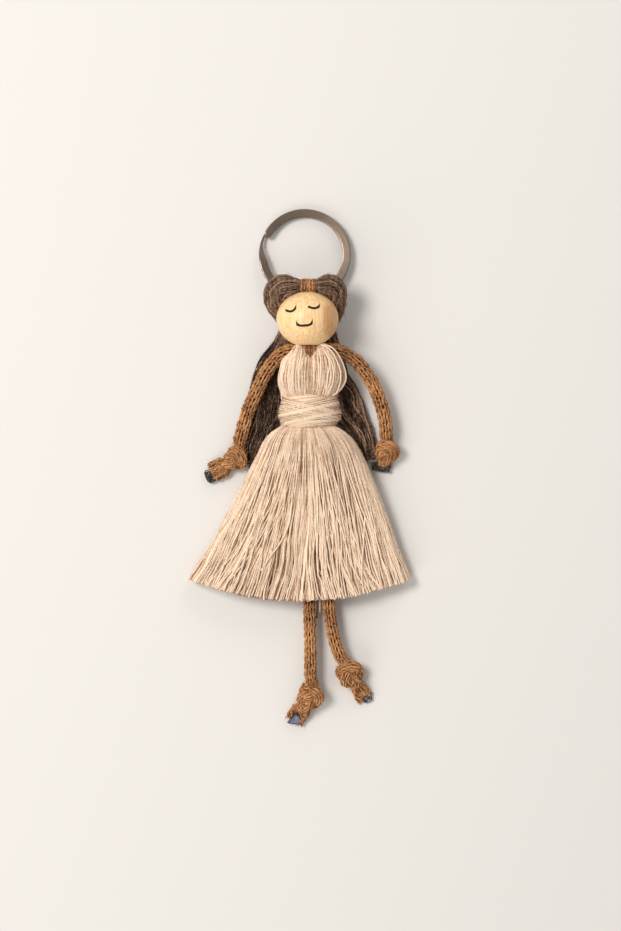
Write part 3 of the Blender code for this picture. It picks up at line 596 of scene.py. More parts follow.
knitSettings = {"wales": 6, "course": 2.5, "loop": 2.15, "bow": 1.15, "dip": 0.36, "plies": 3, "ply": 0.18,
                "offset": 0.16, "lay": 2.6, "plain": 4.5, "steps": 14, "core": 1.32, "spacing": 0.34,
                "coreSides": 12}


def cutUp(line, size):
    # one long line as many short ones that share their ends
    count = (len(line) - 1) // size
    return np.stack([line[k * size:(k + 1) * size + 1] for k in range(count)])


def knit(line, wide, settings, seed, first=(0, 0, 1)):
    # wide is the cord's width, even or at each point of the line
    random = np.random.default_rng(seed)
    normals, across = frameOf(line, first)
    run = runOf(line)
    wide = np.broadcast_to(wide, run.shape)
    scale = wide / settings["plain"]
    paced = np.concatenate([[0], np.cumsum(np.diff(run) * 2 / (scale[1:] + scale[:-1]))])
    wales, steps = settings["wales"], settings["steps"]
    courses = int(paced[-1] / settings["course"])
    stitch = np.arange(courses * wales * steps + 1) / steps
    marks = np.arange(courses * wales + 2)
    loose = [np.interp(stitch, marks, random.normal(0, 1, len(marks))) for unused in range(3)]
    t = stitch * turn
    at = settings["course"] * stitch / wales + settings["loop"] * np.cos(t) * (1 + 0.10 * loose[0])
    at = np.interp(np.clip(at, 0, paced[-1]), paced, run)
    near, reach = (np.interp(at, run, held) for held in (scale, wide / 2))
    middle, normal, side = (sampled(at, run, held) for held in (line, normals, across))
    angle = (t + settings["bow"] * np.sin(2 * t)) / wales + 0.06 * loose[1]
    inset = settings["ply"] + settings["offset"] + settings["dip"] * (1 + np.cos(2 * t)) + 0.05 * loose[2]
    reach = reach - inset * near
    yarn = middle + normal * (np.cos(angle) * reach)[:, None] + side * (np.sin(angle) * reach)[:, None]
    spins = [turn * runOf(yarn) / settings["lay"] + turn * ply / settings["plies"]
             for ply in range(settings["plies"])]
    strands = plied(yarn, spins, (settings["offset"] * near)[:, None], (0.3, 0.2, 1))
    strands = np.stack([cutUp(strand, wales * steps) for strand in strands], axis=1)
    radii = cutUp(settings["ply"] * near[:, None], wales * steps)[..., 0]
    half = wide / 2 * (settings["core"] / (settings["plain"] / 2))
    core = ovals(line, normals, half, across, half, settings["coreSides"])
    place = np.interp((np.arange(courses) + 0.5) * settings["course"], paced, run)
    tones = np.clip(random.normal(0.5, 0.04, (courses, 1))
                    + random.normal(0, 0.12, (courses, settings["plies"])), 0, 1)
    return {"strands": strands, "radii": radii, "core": core, "run": run, "place": place, "tones": tones}


def knitGroups(made, low=-1.0, high=1e6, hairs=0, seed=0, knotted=False):
    # the stretch of a knitted cord between two places along it; the yarns of a knot are rougher
    held = (made["place"] >= low) & (made["place"] < high)
    strands = made["strands"][held]
    plies, points = strands.shape[1:3]
    lines = strands.reshape(-1, points, 3)
    radii = np.repeat(made["radii"][held], plies, axis=0)
    stations = (made["run"] >= low - 0.4) & (made["run"] <= high + 0.4)
    tones = made["tones"][held].ravel()
    if knotted:
        random = np.random.default_rng(seed)
        tones = np.clip(tones + 0.04 + random.normal(0, 0.26, len(tones)), 0, 1)
        lines = lines + random.normal(0, 0.07, lines.shape)
    # a plain cord's core takes the dark core finish, painted shade seen through the loops; a knot's core
    # takes the yarn finish
    groups = [tubes(lines, radii, tones), lofted(made["core"][None, stations], 0.3, 0 if knotted else 1)]
    if knotted:
        groups.append(fuzz(lines, hairs, seed + 7, length=1.2, radius=0.085, out=0.75))
    return groups + [fuzz(lines, hairs, seed, length=1.1, radius=0.045)] if hairs else groups


def fuzz(lines, count, seed, length=1.2, radius=0.035, out=0.5):
    # single fibres that leave the yarns
    random = np.random.default_rng(seed)
    lines = np.asarray(lines, float)
    pick = random.integers(0, len(lines), count)
    at = random.integers(1, lines.shape[1] - 2, count)
    start = lines[pick, at]
    tangent = unit(lines[pick, at + 1] - lines[pick, at - 1])
    lean = unit(random.normal(0, 1, (count, 3)))
    size = random.uniform(0.5, 1.3, count)[:, None] * length
    bend = unit(random.normal(0, 1, (count, 3))) * 0.25
    made = [start + tangent * size * t + lean * size * out * t ** 1.3 + bend * size * math.sin(3 * t)
            for t in (0, 0.25, 0.5, 0.75, 1.0)]
    made = np.stack(made, axis=1)
    made[..., 2] = np.maximum(made[..., 2], radius)
    return tubes(made, radius * np.array([1, 0.9, 0.8, 0.6, 0.3]), random.uniform(0.4, 1.0, count), sides=3)


# Overhand knot as it lies when it is pulled tight, in cord diameters, up to its middle
knotHalf = [(-1.13, 0.14, -0.20), (-0.62, 0.01, -0.01), (-0.32, -0.21, 0.38), (0.02, -0.63, 0.50),
            (0.47, -0.91, 0.34), (0.91, -0.93, 0.0), (1.21, -0.68, -0.40), (1.30, -0.24, -0.72),
            (1.16, 0.29, -0.81), (0.83, 0.72, -0.69), (0.41, 0.92, -0.38), (0.0, 0.93, 0.0)]
knotPlaces = np.array(knotHalf + [(-x, y, -z) for x, y, z in reversed(knotHalf[:-1])])
knotSpan = np.ptp(knotPlaces, axis=0)

# a cord's plain width, its width at the start where that is pinched, and its points from joint to bend
limbKinds = {
    "arm": {"bodies": ("upper_arm", "forearm"), "end": "hand", "plain": 4.9, "start": 3.4, "bend": 10},
    "leg": {"bodies": ("thigh", "shin"), "end": "foot", "plain": 4.5, "start": None, "bend": 6},
}
knotSettings = {"lead": 1.7, "leave": 0.4, "sink": 0.3, "after": 0.9, "drop": 0.4, "beforeJoint": 7.0}
# a tip's face sets how strongly its dished face is painted with a blue-grey reflection
limbSettings = {
    "arm_left": {
        "route": [(-1.0, 37.4, 9.6), (-4.6, 38.2, 9.7), (-7.9, 37.5, 9.2), (-10.8, 34.9, 8.2),
                  (-14.2, 30.0, 7.0), (-16.6, 25.0, 6.0), (-18.9, 20.0, 5.6), (-20.6, 15.0, 5.3),
                  (-21.8, 10.3, 4.6)],
        "end": (-23.4, 3.3, 3.65), "leave": (-0.85, -0.53), "knot": (8.0, 7.8, 6.9), "tied": 3.5,
        "joint": (-16.35, 24.4, 5.8), "root": (-9.2, 37.2, 9.0), "seed": 11,
        "tail": {"length": 4.0, "wide": 7.0, "thick": 3.0, "bare": 0.0},
        "tip": {"at": (-31.0, -1.0), "way": (-0.25, -0.97), "length": 3.9, "wide": 5.0, "thick": 2.2,
                "face": 0.05, "rise": 0.3, "shape": (0.7, 0.95, 1.0, 0.66, 0.40, 0.28, 0.15)}},
    "arm_right": {
        "route": [(2.6, 37.6, 9.6), (6.2, 38.5, 9.7), (9.7, 38.1, 9.3), (12.8, 36.8, 8.6),
                  (16.0, 34.6, 8.0), (19.4, 30.4, 7.0), (22.1, 25.6, 6.0), (24.2, 20.0, 5.6),
                  (25.3, 15.0, 5.3), (25.7, 10.9, 4.7)],
        "end": (26.1, 5.4, 3.65), "leave": (-0.33, -0.94), "knot": (7.8, 8.2, 7.0), "tied": 3.6,
        "joint": (22.05, 25.4, 5.8), "root": (11.2, 37.7, 9.0), "seed": 12,
        "tail": {"length": -1.1, "wide": 4.6, "thick": 2.2, "bare": 0.0},
        "tip": {"at": (24.3, 2.0), "way": (-0.15, -0.99), "length": 3.1, "wide": 6.4, "thick": 2.2,
                "face": 0.12, "rise": 0.2, "shape": (0.4, 0.75, 1.0, 1.0, 0.95, 0.78, 0.35)}},
    "leg_left": {
        "route": [(-2.1, 16.0, 9.0), (-2.1, 10.9, 8.6), (-1.22, -7.6, 7.3), (-0.35, -26.2, 6.0),
                  (0.55, -45.3, 4.7), (0.85, -54.3, 4.55), (1.0, -65.1, 4.4)],
        "end": (1.06, -74.4, 4.25), "leave": (-0.55, -0.83), "knot": (9.4, 9.0, 8.0), "tied": 4.1,
        "joint": (0.55, -45.3, 4.7), "root": (-2.1, 10.9, 8.6), "seed": 13,
        "tail": {"length": 4.6, "wide": 6.4, "thick": 2.8, "bare": 5.4},
        "tip": {"at": (-3.7, -79.9), "way": (-0.06, -1.0), "length": 3.9, "wide": 4.8, "thick": 2.3,
                "face": 1.1, "rise": 1.1, "shape": (0.08, 0.18, 0.45, 0.85, 1.0, 0.9, 0.5)}},
    "leg_right": {
        "route": [(2.95, 16.0, 9.0), (2.95, 10.9, 8.6), (4.27, -7.6, 7.3), (5.6, -26.2, 6.0),
                  (6.95, -45.3, 4.7), (7.45, -49.2, 4.59), (8.6, -55.5, 4.475), (10.5, -61.11, 4.36)],
        "end": (13.94, -66.81, 4.25), "leave": (0.49, -0.87), "knot": (9.2, 9.2, 8.0), "tied": 4.1,
        "joint": (6.95, -45.3, 4.7), "root": (2.95, 10.9, 8.6), "seed": 14,
        "tail": {"length": 4.6, "wide": 5.0, "thick": 2.4, "bare": 1.6},
        "tip": {"at": (18.8, -73.4), "way": (0.40, -0.92), "length": 3.4, "wide": 2.8, "thick": 1.8,
                "face": 0.55, "rise": 0.3, "shape": (0.3, 0.5, 0.8, 1.0, 0.9, 0.7, 0.4)}},
}
tailSettings = {"yarns": 120, "radius": 0.17, "rest": 1.25}
tipMarks = (0.0, 0.06, 0.30, 0.70, 0.90, 0.97, 1.0)


def nearest(line, place):
    return int(np.argmin(np.linalg.norm(line - np.asarray(place), axis=1)))


def limb(name, held):
    # one cord from the body to its knot, cut into a piece for each stretch that moves
    kind, side = name.split("_")
    kindHeld = limbKinds[kind]
    upper, lower = (f"{body}_{side}" for body in kindHeld["bodies"])
    centre, route = np.array(held["end"], float), np.array(held["route"], float)
    arrive = unit((centre - route[-1]) * (1, 1, 0))
    way = np.array([*held["leave"], 0.0])
    axis = unit(arrive + way)
    tied = held["tied"]
    sizes = (np.array(held["knot"]) - tied) / knotSpan
    knot = centre + (knotPlaces * sizes) @ np.array([axis, np.cross((0, 0, 1), axis), (0, 0, 1)])
    length = held["knot"][0]
    lead = centre - arrive * (length / 2 + knotSettings["lead"])
    leaving = centre + way * (length / 2 - knotSettings["leave"])
    leaving[2] -= knotSettings["sink"] * (centre[2] - tailSettings["rest"])
    after = leaving + way * knotSettings["after"] - np.array([0, 0, knotSettings["drop"]])
    places = np.vstack([route, lead, knot, leaving, after])
    line = evenly(places, 12, knitSettings["spacing"])[0]
    run = runOf(line)
    knotRun = run[nearest(line, lead)]
    size = kindHeld["plain"] + (tied - kindHeld["plain"]) * smoothStep(run, knotRun - 0.6, knotRun + 2.2)
    if kindHeld["start"]:
        size = kindHeld["start"] + (size - kindHeld["start"]) * smoothStep(run, 1.0, 5.0)
    root, joint = nearest(line, held["root"]), nearest(line, held["joint"])
    cut = run[joint] - knotSettings["beforeJoint"]
    made = knit(line, size, knitSettings, held["seed"])
    finishes = [cordFinish, cordCoreShadeFinish]
    spread = None
    if kind == "arm":
        spread = {"bodies": ("torso", upper), "start": line[root - 7], "end": line[root + 9]}
    title, end = side.title(), kindHeld["end"]
    meshPiece(f"{kind}Cord{title}Upper", knitGroups(made, -1, cut, 240, held["seed"] + 20), finishes, upper,
              [upper], spread)
    spread = {"bodies": (upper, lower), "start": line[joint - kindHeld["bend"]], "end": line[joint + 12]}
    meshPiece(f"{kind}Cord{title}Lower", knitGroups(made, cut, knotRun, 300, held["seed"] + 30), finishes,
              lower, [lower], spread)
    meshPiece(f"{end}Knot{title}", knitGroups(made, knotRun, 1e6, 1000, held["seed"] + 40, True), finishes,
              lower, [f"{end}_{side}_knot"])
    limbTail(end, side, lower, centre, way, held)
    meltedTip(end, side, lower, held)


def limbTail(hand, side, body, centre, way, held):
    # the cord's own plies fan out below the knot and run into the melted end
    random = np.random.default_rng(held["seed"] + 50)
    count, tail, tied = tailSettings["yarns"], held["tail"], held["tied"]
    across = np.cross((0, 0, 1), way)
    spot = random.uniform(0, turn, count)
    out = np.sqrt(random.uniform(0, 1, count))
    p, q = out * np.cos(spot), out * np.sin(spot)
    start = held["knot"][0] / 2 - 1.2
    # plies on top stop short where the melted face shows
    short = tail["bare"] * np.clip(q + 0.35, 0, 1) * np.clip(1.15 - np.abs(p), 0, 1)
    reach = 1.2 + tail["length"] + 1.0 - short
    rest, high = tail["thick"] / 2 + 0.1, centre[2] * 0.75
    made = []
    for t in np.linspace(0, 1, 10):
        fan = smoothStep(t, 0, 0.35)
        half = tied * 0.5 + (tail["wide"] / 2 - tied * 0.5) * fan
        deep = tied * 0.45 + (tail["thick"] / 2 - tied * 0.45) * fan
        height = high + (rest - high) * smoothStep(t, 0, 0.8)
        wobble = random.normal(0, 0.22, (count, 3)) * (0.4 + t)
        place = centre + way * (start + reach * t)[:, None] + across * (p * half)[:, None] + wobble
        place[:, 2] = np.maximum(height + q * deep + wobble[:, 2], tailSettings["radius"])
        made.append(place)
    lines = smoothLines(np.stack(made, axis=1), 2)
    tones = np.clip(random.normal(0.50, 0.26, count), 0, 1)
    groups = [tubes(lines, tailSettings["radius"], tones),
              fuzz(lines, 420, held["seed"] + 60, length=1.3, out=0.9)]
    meshPiece(f"{hand}Tail{side.title()}", groups, [cordFinish], body,
              [f"{hand}_{side}_tail"])


def meltedTip(hand, side, body, held):
    # a wedge of melted cord: raised black rim, glassy dished face painted with a blue-grey reflection
    tip = held["tip"]
    random = np.random.default_rng(held["seed"] + 70)
    way = unit(np.array([*tip["way"], 0.0]))
    across = np.cross((0, 0, 1), way)
    stations, sides = 30, 44
    t = np.linspace(0, 1, stations)
    half = tip["wide"] / 2 * np.interp(t, tipMarks, tip["shape"])
    deep = tip["thick"] / 2 * np.interp(t, [0, 0.08, 0.5, 0.9, 1], [0.35, 0.85, 1, 0.7, 0.25])
    dish = smoothStep(t, 0.10, 0.40) * (1 - smoothStep(t, 0.86, 0.99))
    angles = np.arange(sides) * turn / sides
    lumps = random.normal(0, 1, (7, 3))
    start = np.array([*tip["at"], 0.0])
    rings, tones = [], []
    for i in range(stations):
        wave = 0.05 * sum(a * np.sin(angles * (k + 2) + b + c * t[i] * 4)
                          for k, (a, b, c) in enumerate(lumps))
        x = half[i] * np.sign(np.cos(angles)) * np.abs(np.cos(angles)) ** 0.8 * (1 + wave)
        inner = np.clip(1.1 - 1.3 * (x / half[i]) ** 2, 0, 1) * (np.sin(angles) > 0) * dish[i]
        z = deep[i] * np.sin(angles) * (1 + wave) - inner * deep[i] * 0.55
        ring = (start + way * tip["length"] * t[i])[None] + across * x[:, None]
        ring[:, 2] = np.maximum(deep.max() + 0.1 + tip["rise"] * (1 - t[i]) + z, 0.03)
        rings.append(ring)
        # the dished face's tone, times face, sets its painted reflection
        tones.append(inner * tip["face"])
    group = lofted(np.array(rings)[None], np.array(tones).reshape(1, -1))
    meshPiece(f"{hand}Tip{side.title()}", [group], [tipFinish], body,
              [f"{hand}_{side}_tip"])


for limbName, limbHeld in limbSettings.items():
    limb(limbName, limbHeld)
print("limbs ready")


# Body cords inside the dress and the bead, the band over the hair and its bight round the ring

hiddenWide = 2.8
hiddenCords = {
    "shoulderCord": ("shoulder_cord", [(-3.5, 37.6, 9.3), (0.5, 37.6, 9.3), (5.2, 37.6, 9.3)]),
    "torsoCordLeft": ("torso_cord_left", [(-2.1, 37.0, 9.2), (-2.1, 30, 9.2), (-2.1, 14.5, 9.0)]),
    "torsoCordRight": ("torso_cord_right", [(2.95, 37.0, 9.2), (2.95, 30, 9.2), (2.95, 14.5, 9.0)]),
}
strapSettings = {
    "neckCord": {
        "wide": 5.0, "thick": 3.6, "across": 9, "layers": 4, "ply": 0.20, "offset": 0.19, "lay": 2.6,
        "seed": 95, "node": "neck_cord",
        "route": [(0, 56.4, 14.0), (0, 48, 14.0), (0.4, 41.5, 14.0), (0.7, 38.6, 13.9), (0.75, 36.0, 13.2),
                  (0.7, 33.6, 11.6), (0.6, 31.5, 10.0)]},
    "hangerBand": {
        "wide": 5.3, "thick": 1.2, "across": 6, "layers": 2, "ply": 0.20, "offset": 0.17, "lay": 3.4,
        "seed": 90, "node": "hanger_loop",
        "route": [(0, 54.5, 14.4), (0, 56.1, 15.2), (0, 56.7, 16.6), (0, 57.8, 17.5), (0, 59.2, 17.3),
                  (0, 60.3, 15.8), (0, 60.7, 13.6), (0, 60.8, 11.0), (0, 60.3, 8.6), (0, 58.8, 6.6)]},
}
bightSettings = {"wide": 4.4, "thick": 1.3, "across": 8, "layers": 2, "ply": 0.18, "offset": 0.17, "lay": 2.8,
                 "seed": 92, "centre": (0, 56.265, 3.746), "middle": 2.70, "points": 97, "startDegrees": 60}


def strap(line, settings, first=(0, 0, 1)):
    # plied yarns side by side, as a knitted cord shows when it is drawn out tight
    random = np.random.default_rng(settings["seed"])
    normals, across = frameOf(line, first)
    halfWide, halfThick = settings["wide"] / 2 - 0.3, settings["thick"] / 2 - 0.25
    strands, tones = [], []
    for layer in range(settings["layers"]):
        for k in range(settings["across"]):
            u = (k + 0.5 + 0.5 * (layer % 2)) / settings["across"] * 2 - 1
            v = (layer + 0.5) / settings["layers"] * 2 - 1
            u, v = np.clip(u, -0.95, 0.95) + random.normal(0, 0.03), v + random.normal(0, 0.06)
            bow = math.sqrt(max(0, 1 - abs(u) ** 3))
            wave = 0.10 * np.sin(runOf(line) / random.uniform(2.2, 3.6) + random.uniform(0, turn))
            yarn = line + across * (u * halfWide + wave)[:, None] + normals * (v * halfThick * bow)
            tone = random.uniform(0.1, 0.65)
            spins = [turn * (runOf(yarn) / settings["lay"] + ply / 2 + k * 0.21) for ply in (0, 1)]
            strands += plied(yarn, spins, settings["offset"], first)
            tones += [np.clip(tone + random.normal(0, 0.1), 0, 1) for ply in (0, 1)]
    return [tubes(strands, settings["ply"], np.array(tones), first=first),
            fuzz(strands, 160, settings["seed"] + 1, length=1.0)]


def bodyCords():
    for seed, (name, (node, places)) in enumerate(hiddenCords.items(), 80):
        line = evenly(places, 12, knitSettings["spacing"])[0]
        made = knit(line, hiddenWide, knitSettings, seed, first=(0, 0.2, 1))
        meshPiece(name, knitGroups(made), [cordFinish, cordCoreShadeFinish], "torso", [node])
    for name, held in strapSettings.items():
        groups = strap(evenly(held["route"], 10, 0.3)[0], held)
        meshPiece(name, groups, [cordFinish], "torso", [held["node"]])
    held = bightSettings
    around = np.linspace(0, turn, held["points"]) + math.radians(held["startDegrees"])
    out = held["middle"] * np.column_stack([np.zeros(held["points"]), np.cos(around), np.sin(around)])
    meshPiece("ringBight", strap(np.array(held["centre"]) + out, held, first=out[0]), [cordFinish], "bight",
              ["ring_bight"])


bodyCords()
print("body cords ready")


# Hair: plied wool yarns from the band, out into a bun, behind the head and down the back

hairSettings = {"yarns": 150, "ply": 0.165, "offset": 0.16, "lay": 1.8, "spacing": 0.65, "loose": 0.32}
hairDeep = (3.0, 2.3, 1.8, 1.7, 1.7, 1.7, 1.6, 1.4, 1.2, 0.9)
hairRoutes = {
    "left": {
        "places": [(0.6, 58.8, 13.4), (-2.8, 58.7, 14.2), (-5.2, 58.5, 14.6), (-7.9, 58.1, 14.0),
                   (-10.0, 56.4, 12.4), (-10.3, 53.4, 10.2), (-9.1, 50.8, 7.4), (-7.2, 48.2, 4.8),
                   (-5.9, 45.0, 3.0), (-7.2, 39.8, 1.8), (-11.6, 33.0, 1.8), (-13.6, 25.5, 1.8),
                   (-14.4, 17.0, 1.7), (-16.8, 9.5, 1.5), (-18.5, 3.4, 1.3), (-19.6, -0.6, 1.1)],
        "wide": (1.2, 2.0, 3.4, 4.4, 4.2, 3.4, 2.6, 2.6, 3.4, 4.2, 5.0, 5.3, 5.4, 4.3, 3.0, 2.0),
        "deep": (3.2, 3.4, 3.9, 4.2, 4.0, 3.5) + hairDeep, "seed": 201, "shade": 0.50},
    "right": {
        "places": [(-0.6, 58.8, 13.4), (2.8, 58.7, 14.2), (5.0, 58.6, 14.6), (7.3, 58.3, 14.0),
                   (9.0, 56.6, 12.4), (9.2, 53.3, 10.2), (8.6, 50.2, 7.4), (7.2, 47.6, 4.8),
                   (5.9, 44.5, 3.0), (6.8, 38.5, 1.8), (8.6, 31.0, 1.8), (11.8, 24.3, 1.8),
                   (14.3, 17.5, 1.7), (17.4, 11.8, 1.5), (19.4, 6.5, 1.3), (20.4, 2.0, 1.1)],
        "wide": (1.2, 2.0, 3.4, 4.2, 3.7, 3.1, 2.7, 2.6, 3.4, 4.2, 4.5, 4.9, 5.1, 4.1, 2.8, 1.6),
        "deep": (3.2, 3.4, 3.9, 4.1, 3.9, 3.4) + hairDeep, "seed": 202, "shade": 0.15},
}


def hairSide(side, held):
    random = np.random.default_rng(held["seed"])
    guide, through = evenly(held["places"], 16, hairSettings["spacing"])
    count, marks = len(guide), np.linspace(0, 1, len(held["places"]))
    wide, deep = np.interp(through, marks, held["wide"]), np.interp(through, marks, held["deep"])
    tangent = unit(np.gradient(guide, axis=0))
    up = unit(np.array([0, 0, 1.0]) - tangent * tangent[:, 2:3])
    across = np.cross(tangent, up)
    number = hairSettings["yarns"]
    # yarns fill the section; each wanders in it on the way down
    golden = (np.arange(number) * 0.381966) % 1 * turn
    out = 0.28 + 0.68 * np.sqrt((np.arange(number) + 0.5) / number)
    share = np.linspace(0, 1, count)
    falling = smoothStep(share, 0.38, 0.55)
    crimp = 0.13 - 0.10 * smoothStep(share, 0.40, 0.55)
    size = np.interp(share, [0, 0.04, 0.10, 0.4, 0.5, 1], [0.45, 0.60, 1.15, 1.15, 0.95, 0.9])
    thinning = hairSettings["ply"] * size * (1 - 0.6 * smoothStep(share, 0.95, 1.0))
    opening = hairSettings["offset"] * size * (1 + 1.5 * smoothStep(share, 0.96, 1.0))
    lines, tones = [], []
    for i in range(number):
        wander = sum(random.normal(0, 0.36 / (1 + f)) * np.sin(turn * share * f + random.uniform(0, turn))
                     for f in (1, 2.3, 4.1, 7.3))
        spin = golden[i] + wander + share * random.uniform(-0.8, 1.0)
        reach = out[i] + 0.13 * np.sin(turn * share * random.uniform(1, 4) + random.uniform(0, turn))
        reach = np.clip(reach, 0, 0.97)
        line = (guide + across * (wide * reach * np.cos(spin))[:, None]
                + up * (deep * reach * np.sin(spin))[:, None])
        wave = hairSettings["loose"] * smoothStep(share, 0.3, 0.7) * random.uniform(0.4, 1.3)
        line[:, 0] += wave * np.sin(turn * share * random.uniform(4, 9) + random.uniform(0, turn))
        line += crimp[:, None] * np.sin(turn * share[:, None] * random.uniform(12, 26, 3)
                                        + random.uniform(0, turn, 3))
        last = int(count * random.uniform(0.92, 1.0))
        line = sampled(np.linspace(0, last - 1, count), np.arange(count), line)
        tone = 0.47 + random.uniform(-0.5, 0.5) * (0.55 + 0.75 * falling) - held["shade"] * falling
        spins = [turn * (runOf(line) / hairSettings["lay"] + ply / 2 + i * 0.17) for ply in (0, 1)]
        lines += plied(line, spins, opening[:, None], (0.2, 0.1, 1))
        tones += [np.clip(tone + random.normal(0, 0.08), 0, 1) for ply in (0, 1)]
    lines, tones = np.array(lines), np.array(tones)
    lines[..., 2] = np.maximum(lines[..., 2], 0.3)
    # a core of packed wool, down to behind the head, in the dark core colours that are painted shade
    core = slice(int(count * 0.6))
    along = np.linspace(0, 1, len(guide[core]))
    thin = 0.02 + 0.78 * smoothStep(along, 0, 0.14) * (1 - smoothStep(along, 0.55, 1.0))
    inside = ovals(guide[core], across[core], wide[core] * thin, up[core], deep[core] * thin, 20)
    finishes, title, split = [hairFinish, hairCoreShadeFinish], side.title(), count // 3
    inner, outer = (tubes(part, thinning, tone, sides=4)
                    for part, tone in zip(np.array_split(lines, 2), np.array_split(tones, 2)))
    meshPiece(f"hairInner{title}", [inner, lofted(inside[None, :, ::-1], 0.3, 1)], finishes, "torso",
              [f"hair_bun_{side}"])
    groups = [outer, fuzz(lines[:, :split], 1300, held["seed"] + 5, length=1.9, radius=0.05, out=0.55),
              fuzz(lines[:, split:], 500, held["seed"] + 6, length=3.0, radius=0.04, out=0.25)]
    meshPiece(f"hairOuter{title}", groups, finishes, "torso", [f"hair_fall_{side}"])


for sideName, hairHeld in hairRoutes.items():
    hairSide(sideName, hairHeld)


def hairHank():
    # the squeezed middle of the hank, inside the band
    random = np.random.default_rng(210)
    count = 40
    lines, tones = [], []
    for i in range(count):
        angle, out = i * 2.4, math.sqrt((i + 0.5) / count)
        y, z = 58.7 + 1.2 * out * math.cos(angle), 13.0 + 3.4 * out * math.sin(angle)
        lines.append([(x, y + random.normal(0, 0.08), z + random.normal(0, 0.08))
                      for x in np.linspace(-3.2, 3.2, 6)])
        tones.append(random.uniform(0.1, 0.8))
    meshPiece("hairHank", [tubes(smoothLines(lines, 4), 0.30, tones)], [hairFinish], "torso",
              ["hair_hank"])


hairHank()
print("hair ready")


# Skirt: strings that leave the waist all round and fall over and under the legs

skirtSettings = {
    "top": 13.2, "halfWidth": 36.3, "length": 55.6, "topHeight": 15.8, "edge": 4.0, "hemRise": 6.8,
    "waistMiddle": 9.15, "waistThick": 14.0, "hip": 8.6, "knee": 4.7, "hipShare": 0.041, "legClear": 2.45,
    "legs": {"left": -4.5, "leftGrows": 2.65, "right": 5.35, "rightGrows": 4.0, "degrees": 9},
    "part": {"x": 4.0, "half": 0.55, "shares": (0.73, 0.80), "deep": 0.5},
    "string": 0.25, "points": 30, "tuck": 0.05, "pull": (0.0, 0.08), "smallPull": (0.1, 0.4), "lean": 0.018,
    "rise": 0.35, "sway": 0.014, "swayTurns": (6.0, 13.0), "cross": 0.024, "wildCross": 0.07,
    "wildShare": 0.10, "waistWander": 0.05, "uneven": 0.004, "lift": (-0.30, 0.10), "sideDrop": 1.2,
    "sideShadeLift": 0.06}
skirtWidths = ((-0.05, -0.02, 0.0, 0.02, 0.04, 0.09, 0.16, 0.25, 0.36, 0.5, 0.65, 0.8, 1.0),
               (0.20, 0.235, 0.272, 0.322, 0.360, 0.415, 0.466, 0.524, 0.589, 0.673, 0.764, 0.855, 1.0))
skirtCentres = ((0.0, 0.16, 0.36, 0.5, 0.65, 0.8, 1.0), (0.004, 0.021, 0.014, 0.004, -0.015, -0.037, -0.072))
skirtTops = ((-0.05, -0.01, 0.02, 0.05, 0.1, 0.36, 0.6, 1.0),
             (0.80, 0.84, 0.95, 1.01, 1.03, 0.93, 0.84, 0.68))


# hem from and to, place at the waist, spread there, share of the strings
skirtSweeps = ((0.10, 0.72, -0.02, 0.34, 0.55), (-0.86, -0.30, -0.50, 0.30, 0.30),
               (-0.45, -0.05, -0.50, 0.22, 0.22))


def skirtPlace(share, u):
    held = skirtSettings
    x = held["halfWidth"] * (np.interp(share, *skirtCentres) + np.interp(share, *skirtWidths) * u)
    y = held["top"] - 0.3 - held["length"] * share + held["hemRise"] * share * u * u
    return x, y


def skirtHeights(share, u):
    held = skirtSettings
    blend = np.clip(share / 0.16, 0, 1)
    edge = held["waistMiddle"] + (held["edge"] - held["waistMiddle"]) * blend
    top = held["topHeight"] * np.interp(share, *skirtTops)
    low = (held["waistMiddle"] - held["waistThick"] / 2 + 0.3) * (1 - blend)
    power = 2 + 4 * blend
    size = np.clip(np.abs(u), 0, 1)
    dome = (1 - size ** 2.2) ** (1 / 2.2)
    belly = (1 - size ** power) ** (1 / power)
    return np.maximum(0, edge - (edge - low + 0.5) * belly), edge + (top - edge) * dome


def legSlot(share, x):
    # half the height that the legs need between the front and back strings
    legs = skirtSettings["legs"]
    spread = skirtSettings["length"] * math.sin(math.radians(legs["degrees"])) * share
    left = legs["left"] + legs["leftGrows"] * share - spread
    right = legs["right"] + legs["rightGrows"] * share + spread
    outside = np.maximum(np.maximum(left - x, x - right), 0)
    return skirtSettings["legClear"] * (1 - smoothStep(outside, 0, 3.0))


